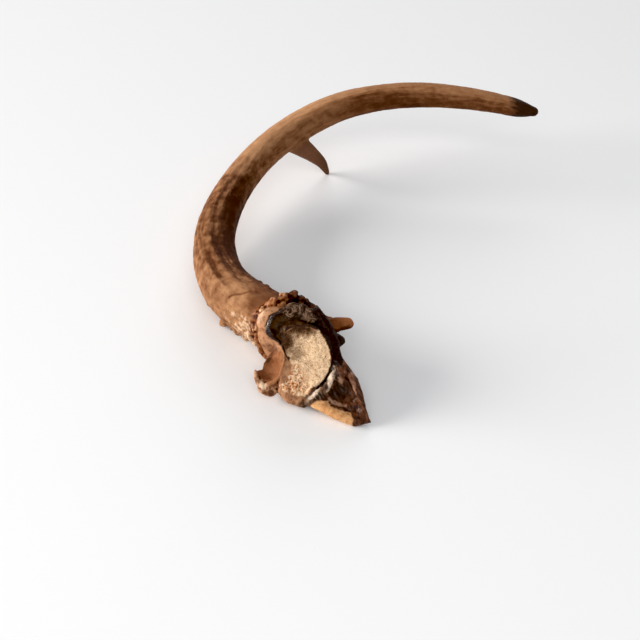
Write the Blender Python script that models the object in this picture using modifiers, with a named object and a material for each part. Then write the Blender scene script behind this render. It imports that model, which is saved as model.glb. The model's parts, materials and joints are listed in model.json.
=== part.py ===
"""A deer antler on the piece of skull it grew from, as it lies on a flat surface.

Metres, +Z up. The burr and the broken skull are at the front (-Y). The beam runs
back and to the left, forks once, and sweeps over to the right (+X) to its tip.
It rests on the tine's tip, on pearls under the beam's base and on the point of the skull.

Four solids: skull_fragment, lower_beam (the burr to the fork), upper_beam and fork_tine.
"""

import bmesh
import bpy
import numpy as np
from mathutils import Matrix, Vector

# All stations are measured from a point on the floor inside the beam's crook.
# This is the middle of the whole antler's box from that point, the model's origin.
CENTRE = Vector((0.0391, 0.0512, 0.0))

# ---- Driving dimensions ---------------------------------------------------------------
GAP = 0.0003                # what neighbouring solids keep between them
VOXEL = 0.0010              # grid that fuses overlapping forms into one skin
SPLINE_STEP = 0.004         # spacing of the points along a beam or tine
MERGE = 0.00005             # edges shorter than this are merged away
END_BALL = 0.98             # a limb's round end, as a share of its radius there

# Centre lines: x, y, z and radius. The beam starts at the burr and ends at its tip.
BEAM = (
    (-0.0212, -0.0405, 0.0260, 0.0181),
    (-0.0368, -0.0240, 0.0235, 0.0184),
    (-0.0482, -0.0115, 0.0215, 0.0183),
    (-0.0603, 0.0040, 0.0205, 0.0176),
    (-0.0718, 0.0320, 0.0215, 0.0158),
    (-0.0753, 0.0600, 0.0240, 0.0147),
    (-0.0717, 0.0902, 0.0275, 0.0136),
    (-0.0583, 0.1293, 0.0320, 0.0123),
    (-0.0399, 0.1581, 0.0380, 0.0118),
    (-0.0139, 0.1806, 0.0460, 0.0118),
    (0.0160, 0.1926, 0.0550, 0.0109),
    (0.0468, 0.1978, 0.0600, 0.0101),
    (0.0779, 0.1987, 0.0620, 0.0097),
    (0.1084, 0.1947, 0.0620, 0.0088),
    (0.1391, 0.1885, 0.0600, 0.0075),
    (0.1543, 0.1848, 0.0580, 0.0065),
    (0.1650, 0.1832, 0.0563, 0.0036),
)
TINE = (
    (-0.0270, 0.1715, 0.0420, 0.0110),
    (-0.0170, 0.1735, 0.0320, 0.0100),
    (-0.0070, 0.1760, 0.0220, 0.0080),
    (0.0010, 0.1790, 0.0120, 0.0053),
    (0.0058, 0.1818, 0.0014, 0.0022),
)
BROW_TINE = (
    (-0.0080, -0.0310, 0.0220, 0.0085),
    (0.0025, -0.0330, 0.0235, 0.0062),
    (0.0100, -0.0345, 0.0255, 0.0040),
    (0.0145, -0.0355, 0.0268, 0.0035),
    (0.0186, -0.0365, 0.0277, 0.0038),
)

BURR_AT = Vector((-0.0205, -0.0400, 0.0265))
BURR_FACES = Vector((0.30, -0.91, 0.28)).normalized()
BURR_RADIUS = 0.0212        # to the middle of the ring's pearls
BURR_PEARLS = 24
BURR_PEARL_TURN = 0.25      # how far a pearl strays round the ring, in spacings
BURR_PEARL_OUT = 0.0010     # how far it strays in or out
BURR_PEARL_BACK = (-0.0035, -0.0005)     # and how far behind the ring it sits
BURR_PEARL_SIZES = (0.80, 1.35)
COLLAR_DEPTH = 0.0060
COLLAR_STEP = 0.0025        # how much narrower the collar is on its far side
PEARL_RADIUS = 0.0029
BASE_PEARLS = 44            # over the first stretch of the beam
BASE_PEARLS_START = 0.004   # how far from the burr they begin
BASE_PEARLS_END = 0.072     # and how far they reach
BASE_PEARLS_CROWD = 1.4     # over 1 crowds them towards the burr
BASE_PEARL_SIZES = (0.65, 1.20)
BASE_PEARL_SHRINK = 0.35    # how much smaller the last ones are
BASE_PEARL_TURN = 0.4       # how far one strays round the beam, in radians
BASE_PEARL_PROUD = 0.15     # how far its centre stands out, in its own radii
GOLDEN_ANGLE = 2.39996      # spreads them evenly round the beam
KNOBS = (                   # the big pearls under the base, which the antler rests on
    (-0.0662, -0.0065, 0.0035, 0.0038),
    (-0.0560, -0.0170, 0.0036, 0.0035),
    (-0.0497, -0.0245, 0.0048, 0.0034),
    (-0.0425, -0.0305, 0.0058, 0.0034),
    (-0.0335, -0.0400, 0.0052, 0.0032),
)
PEDICLE_RADIUS = 0.0186
PLUG_LENGTH = 0.060

# Boxes that part the antler and trim the skull: where each starts, the way it runs,
# and its length, half width and half height.
FORK_CUT = Vector((-0.0060, 0.1848, 0.0483))
FORK_WAY = Vector((0.90, 0.435, 0.0)).normalized()
FORK_BOX = (0.220, 0.110, 0.0240)
FORK_LIFT = 0.0095
TINE_CUT = Vector((-0.0130, 0.1745, 0.0285))
TINE_WAY = Vector((0.45, 0.10, -0.80)).normalized()
TINE_BOX = (0.050, 0.012, 0.0125)
BEHIND_BURR_BOX = (0.060, 0.050, 0.050)
BREAK_BOX = (0.030, 0.060, 0.080)
FLOOR_START = Vector((0.050, -0.200, -0.010))
FLOOR_WAY = Vector((0.0, 1.0, 0.0))
FLOOR_BOX = (0.500, 0.300, 0.010)

# The skull: balls (x, y, z, radius) whose stretched skin makes each form.
PEDICLE = (
    (-0.0235, -0.0309, 0.0237, 0.0186),
    (-0.0170, -0.0500, 0.0290, 0.0178),
)
FRONTAL_BONE = (
    (-0.0185, -0.0610, 0.0430, 0.0020),
    (-0.0030, -0.0610, 0.0455, 0.0020),
    (0.0030, -0.0660, 0.0400, 0.0020),
    (0.0065, -0.0752, 0.0284, 0.0020),
    (0.0058, -0.0790, 0.0232, 0.0020),
    (-0.0020, -0.0845, 0.0148, 0.0020),
    (-0.0095, -0.0895, 0.0070, 0.0022),
    (-0.0140, -0.0895, 0.0064, 0.0022),
    (-0.0200, -0.0860, 0.0085, 0.0022),
    (-0.0225, -0.0650, 0.0360, 0.0020),
    (-0.0180, -0.0520, 0.0270, 0.0160),
    (-0.0100, -0.0560, 0.0260, 0.0150),
    (0.0010, -0.0570, 0.0300, 0.0110),
    (-0.0130, -0.0700, 0.0110, 0.0060),
    (-0.0180, -0.0560, 0.0110, 0.0060),
)
UNDERSIDE = (               # the smooth brown lobe below the broken face
    (-0.0235, -0.0800, 0.0085, 0.0045),
    (-0.0190, -0.0855, 0.0072, 0.0045),
    (-0.0110, -0.0890, 0.0066, 0.0040),
    (-0.0130, -0.0700, 0.0100, 0.0060),
    (-0.0200, -0.0600, 0.0110, 0.0060),
)
WEDGE = (
    (0.0035, -0.0630, 0.0265, 0.0076),
    (0.0150, -0.0765, 0.0210, 0.0040),
    (0.0223, -0.0855, 0.0160, 0.0036),
    (0.0268, -0.0960, 0.0085, 0.0031),
    (0.0290, -0.1030, 0.0018, 0.0026),
    (0.0180, -0.1035, 0.0027, 0.0032),
    (0.0075, -0.0985, 0.0053, 0.0042),
    (-0.0060, -0.0905, 0.0070, 0.0046),
    (-0.0030, -0.0700, 0.0160, 0.0080),
)
LIP = (                     # the raised edge between the broken face and the wedge
    (0.0070, -0.0750, 0.0285, 0.0019),
    (0.0060, -0.0795, 0.0225, 0.0020),
    (0.0010, -0.0845, 0.0160, 0.0021),
    (-0.0050, -0.0885, 0.0105, 0.0021),
    (-0.0105, -0.0915, 0.0060, 0.0019),
)
TISSUE = (                  # dried skin in a dark band over the top and down the right side
    (-0.0250, -0.0530, 0.0430, 0.0028),
    (-0.0170, -0.0530, 0.0475, 0.0034),
    (-0.0070, -0.0545, 0.0480, 0.0034),
    (0.0015, -0.0580, 0.0440, 0.0032),
    (0.0075, -0.0610, 0.0380, 0.0040),
    (0.0098, -0.0600, 0.0315, 0.0050),
    (0.0080, -0.0650, 0.0280, 0.0044),
    (0.0085, -0.0710, 0.0250, 0.0040),
    (0.0125, -0.0760, 0.0225, 0.0038),
)
CREST = (
    (-0.0225, -0.0650, 0.0320, 0.0030),
    (-0.0235, -0.0720, 0.0220, 0.0030),
    (-0.0255, -0.0760, 0.0140, 0.0034),
    (-0.0295, -0.0775, 0.0078, 0.0040),
    (-0.0350, -0.0780, 0.0068, 0.0040),
    (-0.0385, -0.0755, 0.0105, 0.0032),
    (-0.0400, -0.0712, 0.0170, 0.0024),
)
ORBIT_ROOF = (              # the thin floor of the scoop behind the crest, from ball to ball
    (-0.0330, -0.0660, 0.0180, 0.0024),
    (-0.0320, -0.0700, 0.0110, 0.0026),
    (-0.0270, -0.0660, 0.0110, 0.0045),
    (-0.0240, -0.0600, 0.0170, 0.0070),
)
FRACTURE_AT = Vector((-0.0100, -0.0890, 0.0070))
FRACTURE_FACES = Vector((-0.10, -0.80, 0.59)).normalized()
HOLLOWS = (                 # the pit of dried tissue, the wedge's face and the brain case's wall
    (-0.0265, -0.0620, 0.0430, 0.0080),
    (-0.0195, -0.0630, 0.0480, 0.0055),
    (0.0158, -0.0985, 0.0250, 0.0200),
    (0.0220, -0.0620, -0.0060, 0.0255),
)

# Ridge waves run along the beam: how many round it, how deep, and how far they wander.
FURROWS = ((5, 0.00045, 1.3, 28.0), (8, 0.00040, 2.1, 41.0), (13, 0.00025, 0.7, 55.0))
FURROW_DEPTH = ((0.0, 0.5), (0.05, 1.0), (0.15, 0.9), (0.30, 0.45), (0.45, 0.1))
FURROW_SWING = 1.4          # how far a furrow wanders round the beam
FURROW_STEP = 0.002         # spacing of the centre-line points that a furrow follows
ON_BEAM = 1.12              # skin nearer the centre line than this many radii is carved

SEED = 7
SKULL_TRIANGLES = 3300
LOWER_BEAM_TRIANGLES = 5000
UPPER_BEAM_TRIANGLES = 900
TINE_TRIANGLES = 360

# ---- Scene ----------------------------------------------------------------------------
for old in list(bpy.data.objects):
    bpy.data.objects.remove(old, do_unlink=True)


def new_collection(name):
    """An empty collection in the scene."""
    collection = bpy.data.collections.new(name)
    bpy.context.scene.collection.children.link(collection)
    return collection


parts = new_collection("deer_antler")
cutters = new_collection("cutters")


def new_material(name, color, roughness):
    """A plain Principled surface."""
    material = bpy.data.materials.new(name)
    material.use_nodes = True
    shader = material.node_tree.nodes["Principled BSDF"]
    shader.inputs["Base Color"].default_value = (*color, 1.0)
    shader.inputs["Roughness"].default_value = roughness
    shader.inputs["Metallic"].default_value = 0.0
    return material


# ---- Mesh helpers ---------------------------------------------------------------------
def new_object(name, mesh, collection):
    """An object of this mesh in a collection."""
    obj = bpy.data.objects.new(name, mesh)
    collection.objects.link(obj)
    return obj


def evaluated_mesh(obj):
    """The object's mesh or curve with its modifiers carried out, as a new mesh."""
    bpy.context.view_layer.update()
    graph = bpy.context.evaluated_depsgraph_get()
    return bpy.data.meshes.new_from_object(obj.evaluated_get(graph))


def apply_modifiers(obj):
    """Replaces the object's mesh with its evaluated one."""
    mesh = evaluated_mesh(obj)
    obj.modifiers.clear()
    obj.data = mesh


def join_meshes(name, meshes, collection):
    """One object holding all the shells, still overlapping."""
    whole = bmesh.new()
    for mesh in meshes:
        whole.from_mesh(mesh)
    joined = bpy.data.meshes.new(name)
    whole.to_mesh(joined)
    whole.free()
    return new_object(name, joined, collection)


def ball_points(ball, subdivisions):
    """Points all over one ball (x, y, z, radius)."""
    x, y, z, radius = ball
    shape = bmesh.new()
    bmesh.ops.create_icosphere(
        shape, subdivisions=subdivisions, radius=radius, matrix=Matrix.Translation((x, y, z))
    )
    points = [vert.co.copy() for vert in shape.verts]
    shape.free()
    return points


def hull_of_balls(balls, subdivisions=2):
    """The skin stretched tight over some balls, as a mesh."""
    skin = bmesh.new()
    for ball in balls:
        for point in ball_points(ball, subdivisions):
            skin.verts.new(point)
    bmesh.ops.convex_hull(skin, input=skin.verts)
    inner = [vert for vert in skin.verts if not vert.link_faces]
    bmesh.ops.delete(skin, geom=inner, context="VERTS")
    bmesh.ops.recalc_face_normals(skin, faces=skin.faces)
    mesh = bpy.data.meshes.new("hull")
    skin.to_mesh(mesh)
    skin.free()
    return mesh


def chain_of_hulls(balls):
    """A limb that runs from ball to ball."""
    return [hull_of_balls(pair) for pair in zip(balls, balls[1:])]


def fuse(obj, voxel, smoothing):
    """Fuses the overlapping shells into one skin and softens its steps."""
    remesh = obj.modifiers.new("fuse", "REMESH")
    remesh.mode = "VOXEL"
    remesh.voxel_size = voxel
    remesh.adaptivity = 0.0
    smooth = obj.modifiers.new("soften", "SMOOTH")
    smooth.factor = 0.5
    smooth.iterations = smoothing
    apply_modifiers(obj)


def tidy_mesh(mesh):
    """Merges the tiny edges that a cut leaves and splits its faces into triangles."""
    shape = bmesh.new()
    shape.from_mesh(mesh)
    bmesh.ops.dissolve_degenerate(shape, edges=shape.edges, dist=MERGE)
    bmesh.ops.remove_doubles(shape, verts=shape.verts, dist=MERGE)
    bmesh.ops.triangulate(shape, faces=shape.faces)
    shape.to_mesh(mesh)
    shape.free()


def thin_out(obj, triangles):
    """Brings the mesh down to about this many triangles."""
    tidy_mesh(obj.data)
    now = len(obj.data.polygons)
    decimate = obj.modifiers.new("thin out", "DECIMATE")
    decimate.ratio = min(1.0, triangles / now)
    decimate.use_collapse_triangulate = True
    apply_modifiers(obj)


def boolean(obj, cutter, operation):
    """Cuts or trims the object by a closed cutter."""
    step = obj.modifiers.new(operation.lower(), "BOOLEAN")
    step.operation = operation
    step.solver = "EXACT"
    step.object = cutter
    apply_modifiers(obj)


def new_cutter(name, mesh):
    """A hidden helper solid."""
    obj = new_object(name, mesh, cutters)
    obj.hide_render = True
    obj.display_type = "WIRE"
    return obj


def box_cutter(name, start, way, box, lift=0.0):
    """A box (length, half width, half height) that starts at `start` and runs along `way`."""
    reach, half_width, half_height = box
    side = Vector((0.0, 0.0, 1.0)).cross(way).normalized()
    up = way.cross(side)
    turn = Matrix((way, side, up)).transposed().to_4x4()
    middle = Matrix.Translation(start + way * (reach / 2) + up * lift)
    size = Matrix.Diagonal((reach, 2 * half_width, 2 * half_height, 1.0))
    shape = bmesh.new()
    bmesh.ops.create_cube(shape, size=1.0, matrix=middle @ turn @ size)
    mesh = bpy.data.meshes.new(name)
    shape.to_mesh(mesh)
    shape.free()
    return new_cutter(name, mesh)


# ---- Paths ----------------------------------------------------------------------------
def smooth_path(stations, step=SPLINE_STEP):
    """Points, radii and lengths along a cubic curve through the stations."""
    knots = np.array(stations)
    chord = np.linalg.norm(np.diff(knots[:, :3], axis=0), axis=1)
    along = np.concatenate(([0.0], np.cumsum(chord)))
    slopes = np.gradient(knots, along, axis=0)
    at = np.linspace(0.0, along[-1], max(4, round(along[-1] / step)))
    left = np.clip(np.searchsorted(along, at, side="right") - 1, 0, len(along) - 2)
    width = along[left + 1] - along[left]
    t = ((at - along[left]) / width)[:, None]
    a, b = knots[left], knots[left + 1]
    m, n = slopes[left] * width[:, None], slopes[left + 1] * width[:, None]
    curve = (2 * t**3 - 3 * t**2 + 1) * a + (t**3 - 2 * t**2 + t) * m
    curve += (3 * t**2 - 2 * t**3) * b + (t**3 - t**2) * n
    return curve[:, :3], curve[:, 3], at


def path_frames(points):
    """Sideways and upward unit directions along a path."""
    tangent = np.gradient(points, axis=0)
    tangent /= np.linalg.norm(tangent, axis=1, keepdims=True)
    side = np.cross((0.0, 0.0, 1.0), tangent)
    side /= np.linalg.norm(side, axis=1, keepdims=True)
    return side, np.cross(tangent, side)


def tube(name, stations):
    """A tapering round limb with rounded ends, as closed meshes."""
    points, radii, _ = smooth_path(stations)
    data = bpy.data.curves.new(name, "CURVE")
    data.dimensions = "3D"
    data.bevel_depth = 1.0
    data.bevel_resolution = 4
    data.use_fill_caps = True
    spline = data.splines.new("POLY")
    spline.points.add(len(points) - 1)
    for point, at, radius in zip(spline.points, points, radii):
        point.co = (*at, 1.0)
        point.radius = radius
    curve = new_object(name, data, parts)
    mesh = evaluated_mesh(curve)
    bpy.data.objects.remove(curve, do_unlink=True)
    closed = bmesh.new()
    closed.from_mesh(mesh)
    bmesh.ops.remove_doubles(closed, verts=closed.verts, dist=1e-6)
    closed.to_mesh(mesh)
    closed.free()
    ends = [hull_of_balls([(*points[i], radii[i] * END_BALL)]) for i in (0, -1)]
    return [mesh, *ends]


# ---- The antler -----------------------------------------------------------------------
def burr_pearls(random):
    """The ring of pearls where the antler meets its pedicle."""
    across = Vector((0.0, 0.0, 1.0)).cross(BURR_FACES).normalized()
    up = BURR_FACES.cross(across)
    pearls = []
    for i in range(BURR_PEARLS):
        turn = 2 * np.pi * (i + BURR_PEARL_TURN * random.uniform(-1, 1)) / BURR_PEARLS
        radius = PEARL_RADIUS * random.uniform(*BURR_PEARL_SIZES)
        out = BURR_RADIUS + BURR_PEARL_OUT * random.uniform(-1, 1)
        back = BURR_FACES * random.uniform(*BURR_PEARL_BACK)
        spot = BURR_AT + (across * np.cos(turn) + up * np.sin(turn)) * out + back
        pearls.append(hull_of_balls([(*spot, radius)]))
    return pearls


def base_pearls(random):
    """Pearls scattered over the beam's base, fewer and smaller with distance."""
    points, radii, at = smooth_path(BEAM)
    side, up = path_frames(points)
    pearls = []
    for i in range(BASE_PEARLS):
        share = (i / BASE_PEARLS) ** BASE_PEARLS_CROWD
        place = BASE_PEARLS_START + share * (BASE_PEARLS_END - BASE_PEARLS_START)
        k = int(np.searchsorted(at, place))
        turn = GOLDEN_ANGLE * i + BASE_PEARL_TURN * random.uniform(-1, 1)
        radius = PEARL_RADIUS * random.uniform(*BASE_PEARL_SIZES)
        radius *= 1.0 - BASE_PEARL_SHRINK * share
        out = side[k] * np.cos(turn) + up[k] * np.sin(turn)
        spot = points[k] + out * (radii[k] + BASE_PEARL_PROUD * radius)
        pearls.append(hull_of_balls([(*spot, radius)], subdivisions=1))
    return pearls


def burr_ring():
    """The collar that carries the ring of pearls."""
    shape = bmesh.new()
    turn = BURR_FACES.to_track_quat("Z", "Y").to_matrix().to_4x4()
    place = Matrix.Translation(BURR_AT - BURR_FACES * (COLLAR_DEPTH / 2))
    bmesh.ops.create_cone(
        shape, cap_ends=True, segments=36, radius1=BURR_RADIUS - COLLAR_STEP,
        radius2=BURR_RADIUS, depth=COLLAR_DEPTH, matrix=place @ turn,
    )
    mesh = bpy.data.meshes.new("collar")
    shape.to_mesh(mesh)
    shape.free()
    return mesh


def carve_furrows(obj):
    """Moves the skin in and out in long wandering ridges that run with the beam."""
    points, radii, at = smooth_path(BEAM, step=FURROW_STEP)
    side, up = path_frames(points)
    mesh = obj.data
    count = len(mesh.vertices)
    place = np.empty(count * 3)
    normal = np.empty(count * 3)
    mesh.vertices.foreach_get("co", place)
    mesh.vertices.foreach_get("normal", normal)
    place = place.reshape(-1, 3)
    normal = normal.reshape(-1, 3)
    gaps = ((place[:, None, :] - points[None, :, :]) ** 2).sum(axis=2)
    near = gaps.argmin(axis=1)
    offset = place - points[near]
    turn = np.arctan2((offset * up[near]).sum(axis=1), (offset * side[near]).sum(axis=1))
    depth = np.interp(at[near], *np.array(FURROW_DEPTH).T)
    on_beam = np.sqrt(gaps.min(axis=1)) < radii[near] * ON_BEAM
    wave = np.zeros(count)
    for around, height, phase, wander in FURROWS:
        swing = FURROW_SWING * np.sin(wander * at[near] + phase)
        wave += height * np.cos(around * turn + phase + swing)
    place += normal * (wave * depth * on_beam)[:, None]
    mesh.vertices.foreach_set("co", place.ravel())
    mesh.update()


def build_antler():
    """Beam, tine, brow tine, collar and pearls fused into one skin."""
    random = np.random.default_rng(SEED)
    meshes = [*tube("beam", BEAM), *tube("tine", TINE), *tube("brow", BROW_TINE)]
    meshes += [burr_ring(), *burr_pearls(random), *base_pearls(random)]
    meshes += [hull_of_balls([knob]) for knob in KNOBS]
    antler = join_meshes("antler", meshes, parts)
    fuse(antler, VOXEL, 1)
    carve_furrows(antler)
    return antler


# ---- The skull ------------------------------------------------------------------------
def build_skull():
    """Pedicle, broken frontal bone, wedge and the rim of the eye socket as one skin."""
    frontal = new_object("frontal", hull_of_balls(FRONTAL_BONE), parts)
    break_plane = box_cutter("break_plane", FRACTURE_AT, FRACTURE_FACES, BREAK_BOX)
    boolean(frontal, break_plane, "DIFFERENCE")
    meshes = [hull_of_balls(PEDICLE, 3), frontal.data, hull_of_balls(UNDERSIDE)]
    meshes.append(hull_of_balls(WEDGE))
    meshes += chain_of_hulls(CREST) + chain_of_hulls(LIP) + chain_of_hulls(TISSUE)
    roof = ORBIT_ROOF
    meshes.append(hull_of_balls((CREST[6], CREST[5], roof[0], roof[1])))
    meshes.append(hull_of_balls((CREST[5], CREST[4], CREST[3], roof[1], roof[2])))
    meshes.append(hull_of_balls((CREST[3], CREST[2], CREST[1], roof[2], roof[3])))
    meshes.append(hull_of_balls((roof[0], roof[1], roof[2], roof[3])))
    skull = join_meshes("skull_fragment", meshes, parts)
    bpy.data.objects.remove(frontal, do_unlink=True)
    fuse(skull, VOXEL, 2)
    for number, ball in enumerate(HOLLOWS):
        hollow = new_cutter(f"hollow_{number}", hull_of_balls([ball], 4))
        boolean(skull, hollow, "DIFFERENCE")
    return skull


# ---- Splitting and finishing ----------------------------------------------------------
def pedicle_cutter(name, start, radius):
    """A round plug along the pedicle, from a plane at the burr towards the skull."""
    shape = bmesh.new()
    turn = BURR_FACES.to_track_quat("Z", "Y").to_matrix().to_4x4()
    place = Matrix.Translation(start + BURR_FACES * (PLUG_LENGTH / 2))
    bmesh.ops.create_cone(
        shape, cap_ends=True, segments=64, radius1=radius, radius2=radius,
        depth=PLUG_LENGTH, matrix=place @ turn,
    )
    mesh = bpy.data.meshes.new(name)
    shape.to_mesh(mesh)
    shape.free()
    return new_cutter(name, mesh)


def copy_of(obj, name):
    """A second object with its own copy of the mesh."""
    return new_object(name, obj.data.copy(), parts)


def finish(obj, triangles, color, roughness):
    """Thins the solid out, gives it its surface and sets it round the model's origin."""
    thin_out(obj, triangles)
    obj.data.materials.clear()
    obj.data.materials.append(new_material(obj.name, color, roughness))
    obj.data.shade_smooth()
    obj.location = -CENTRE


def build():
    """Makes the four solids and sets them on the floor."""
    antler = build_antler()
    skull = build_skull()

    fork = box_cutter("fork", FORK_CUT, FORK_WAY, FORK_BOX, FORK_LIFT)
    fork_gap = box_cutter("fork_gap", FORK_CUT - FORK_WAY * GAP, FORK_WAY, FORK_BOX, FORK_LIFT)
    tine = box_cutter("tine", TINE_CUT, TINE_WAY, TINE_BOX)
    tine_gap = box_cutter("tine_gap", TINE_CUT - TINE_WAY * GAP, TINE_WAY, TINE_BOX)
    plug = pedicle_cutter("plug", BURR_AT - BURR_FACES * GAP, PEDICLE_RADIUS + 2 * GAP)
    behind = box_cutter("behind_burr", BURR_AT, -BURR_FACES, BEHIND_BURR_BOX)
    floor = box_cutter("floor", FLOOR_START, FLOOR_WAY, FLOOR_BOX)

    upper = copy_of(antler, "upper_beam")
    boolean(upper, fork, "INTERSECT")
    point = copy_of(antler, "fork_tine")
    boolean(point, tine, "INTERSECT")
    antler.name = "lower_beam"
    for cutter in (fork_gap, tine_gap, plug):
        boolean(antler, cutter, "DIFFERENCE")
    boolean(skull, behind, "DIFFERENCE")

    finish(skull, SKULL_TRIANGLES, (0.45, 0.29, 0.17), 0.60)
    finish(antler, LOWER_BEAM_TRIANGLES, (0.34, 0.17, 0.08), 0.50)
    finish(upper, UPPER_BEAM_TRIANGLES, (0.26, 0.12, 0.05), 0.45)
    finish(point, TINE_TRIANGLES, (0.28, 0.16, 0.10), 0.50)
    for cutter in cutters.objects:
        cutter.location = -CENTRE
    for obj in (skull, antler, point):
        boolean(obj, floor, "DIFFERENCE")


build()
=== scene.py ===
# %% [markdown]
# # A deer antler on the piece of skull it grew from
# The packed solids already have the antler's real size and its main forms. Here they get
# the skin that the real one shows: pearls and furrows on the antler, and on the skull the
# porous break, the dried tissue and the thin ridge of the eye socket. Everything is worked
# out in millimetres on arrays of points, and only the finished meshes are in metres.

import json

import bmesh
import bpy
import numpy as np
from mathutils import Matrix, Vector

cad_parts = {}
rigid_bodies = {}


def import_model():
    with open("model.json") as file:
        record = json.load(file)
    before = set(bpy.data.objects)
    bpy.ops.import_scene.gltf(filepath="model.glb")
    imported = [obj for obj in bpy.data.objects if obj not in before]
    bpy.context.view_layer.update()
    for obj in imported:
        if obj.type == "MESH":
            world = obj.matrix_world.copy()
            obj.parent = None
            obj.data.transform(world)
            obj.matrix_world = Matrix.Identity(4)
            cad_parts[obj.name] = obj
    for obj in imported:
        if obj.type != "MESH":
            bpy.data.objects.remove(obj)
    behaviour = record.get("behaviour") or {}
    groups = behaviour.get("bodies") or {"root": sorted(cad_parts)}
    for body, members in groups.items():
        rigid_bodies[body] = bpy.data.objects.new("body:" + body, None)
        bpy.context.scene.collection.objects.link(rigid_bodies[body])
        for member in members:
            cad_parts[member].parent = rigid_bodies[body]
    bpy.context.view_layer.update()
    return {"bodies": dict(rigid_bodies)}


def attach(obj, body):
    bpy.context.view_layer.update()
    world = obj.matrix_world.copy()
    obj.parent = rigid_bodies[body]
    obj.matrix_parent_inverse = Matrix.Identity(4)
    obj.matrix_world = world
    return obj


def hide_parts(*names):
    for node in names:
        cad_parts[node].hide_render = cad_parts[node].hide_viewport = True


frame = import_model()

# %% [markdown]
# ## Where things are
# Stations along the antler are measured from a point on the floor inside its crook, the same
# point as in the solids. The model's origin is the middle of the antler's box, so each
# finished mesh is moved by the way from one to the other.

# %% The origin
MM = 0.001
ORIGIN = np.array((39.1, 51.2, 0.0))        # the model's origin, seen from the crook's point
print("origin is at", ORIGIN, "mm from the crook's point")

# %% [markdown]
# ## Meshes as arrays
# A mesh is a list of points and a list of faces, and numpy holds each as one array. These
# helpers carry whole arrays into Blender and back, which is far quicker than going point by
# point, and they turn millimetres into metres on the way.

# %% Helpers for meshes
def new_object(name, data):
    """An object for a mesh, a light or a camera, linked to the scene."""
    obj = bpy.data.objects.new(name, data)
    bpy.context.scene.collection.objects.link(obj)
    return obj


def mesh_object(name, points, faces):
    """A mesh object from points in mm and faces as one array of corner numbers per row."""
    mesh = bpy.data.meshes.new(name)
    corners = faces.shape[1]
    mesh.vertices.add(len(points))
    mesh.vertices.foreach_set("co", ((points - ORIGIN) * MM).astype(np.float32).ravel())
    mesh.loops.add(faces.size)
    mesh.loops.foreach_set("vertex_index", faces.astype(np.int32).ravel())
    mesh.polygons.add(len(faces))
    mesh.polygons.foreach_set("loop_start", np.arange(0, faces.size, corners, dtype=np.int32))
    mesh.update(calc_edges=True)
    mesh.validate()
    return new_object(name, mesh)


def mesh_arrays(obj):
    """The points in mm, the unit normals and the edges of an object's mesh, as arrays."""
    mesh = obj.data
    points = np.empty(3 * len(mesh.vertices), np.float32)
    normals = np.empty_like(points)
    edges = np.empty(2 * len(mesh.edges), np.int32)
    mesh.vertices.foreach_get("co", points)
    mesh.vertices.foreach_get("normal", normals)
    mesh.edges.foreach_get("vertices", edges)
    return (points.reshape(-1, 3) / MM + ORIGIN, normals.reshape(-1, 3).astype(float),
            edges.reshape(-1, 2))


def set_points(obj, points):
    """Moves an object's points to these places in mm."""
    obj.data.vertices.foreach_set("co", ((points - ORIGIN) * MM).astype(np.float32).ravel())
    obj.data.update()


triangle = mesh_object("triangle", np.eye(3), np.array([[0, 1, 2]]))
print("a test mesh has", len(mesh_arrays(triangle)[0]), "points and",
      len(mesh_arrays(triangle)[2]), "edges")
bpy.data.objects.remove(triangle, do_unlink=True)

# %% [markdown]
# ## Numbers on a mesh, and its modifiers
# A mesh can carry a number or a vector for each point, which materials read by name. And a
# modifier's result is taken over as a plain mesh as soon as it is worked out, so that the
# next step can change its points.

# %% Helpers for attributes and modifiers
def keep(obj, name, values):
    """Stores one number or one vector for each point, which a material can read by name."""
    values = np.asarray(values, np.float32)
    kind, part = ("FLOAT", "value") if values.ndim == 1 else ("FLOAT_VECTOR", "vector")
    layer = obj.data.attributes.new(name, kind, "POINT")
    layer.data.foreach_set(part, values.ravel())


def modified_mesh(obj):
    """The mesh that an object's modifiers make of it."""
    graph = bpy.context.evaluated_depsgraph_get()
    return bpy.data.meshes.new_from_object(obj.evaluated_get(graph))


def shade_smooth(obj):
    """Blends the light over neighbouring faces."""
    obj.data.polygons.foreach_set("use_smooth", np.ones(len(obj.data.polygons), bool))


def triangle_count(obj):
    """How many triangles the faces make."""
    return sum(len(polygon.vertices) - 2 for polygon in obj.data.polygons)


square = mesh_object("square", np.eye(4)[:, :3], np.array([[0, 1, 2, 3]]))
print("a test mesh of one square has", triangle_count(square), "triangles")
bpy.data.objects.remove(square, do_unlink=True)

# %% [markdown]
# ## Growth that never repeats
# Bone has no two lumps alike, so its small forms come from random fields. `waves` is smooth,
# like the swell of a bone. `pebbles` is made of round cells, like the pearls on an antler's
# base or the pores of broken bone. Both are worked out from the point's own place, so the
# same point gets the same number each time.

# %% Random fields
CELL_PRIMES = (73856093, 19349663, 83492791)
SEED_PRIME = 2654435761
MIX_PRIME = 1274126177
LARGEST = 0xFFFFFF


def scramble(cells, seed):
    """A number from 0 to 1 for each whole-number cell: its coordinates, each multiplied by a
    large prime number, and the bits of the results mixed."""
    x, y, z = (cells[..., i].astype(np.int64) * CELL_PRIMES[i] for i in range(3))
    mixed = x ^ y ^ z ^ (seed * SEED_PRIME)
    mixed = (mixed ^ (mixed >> 13)) * MIX_PRIME
    mixed = (mixed ^ (mixed >> 16)) & LARGEST
    return mixed / float(LARGEST)


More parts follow.
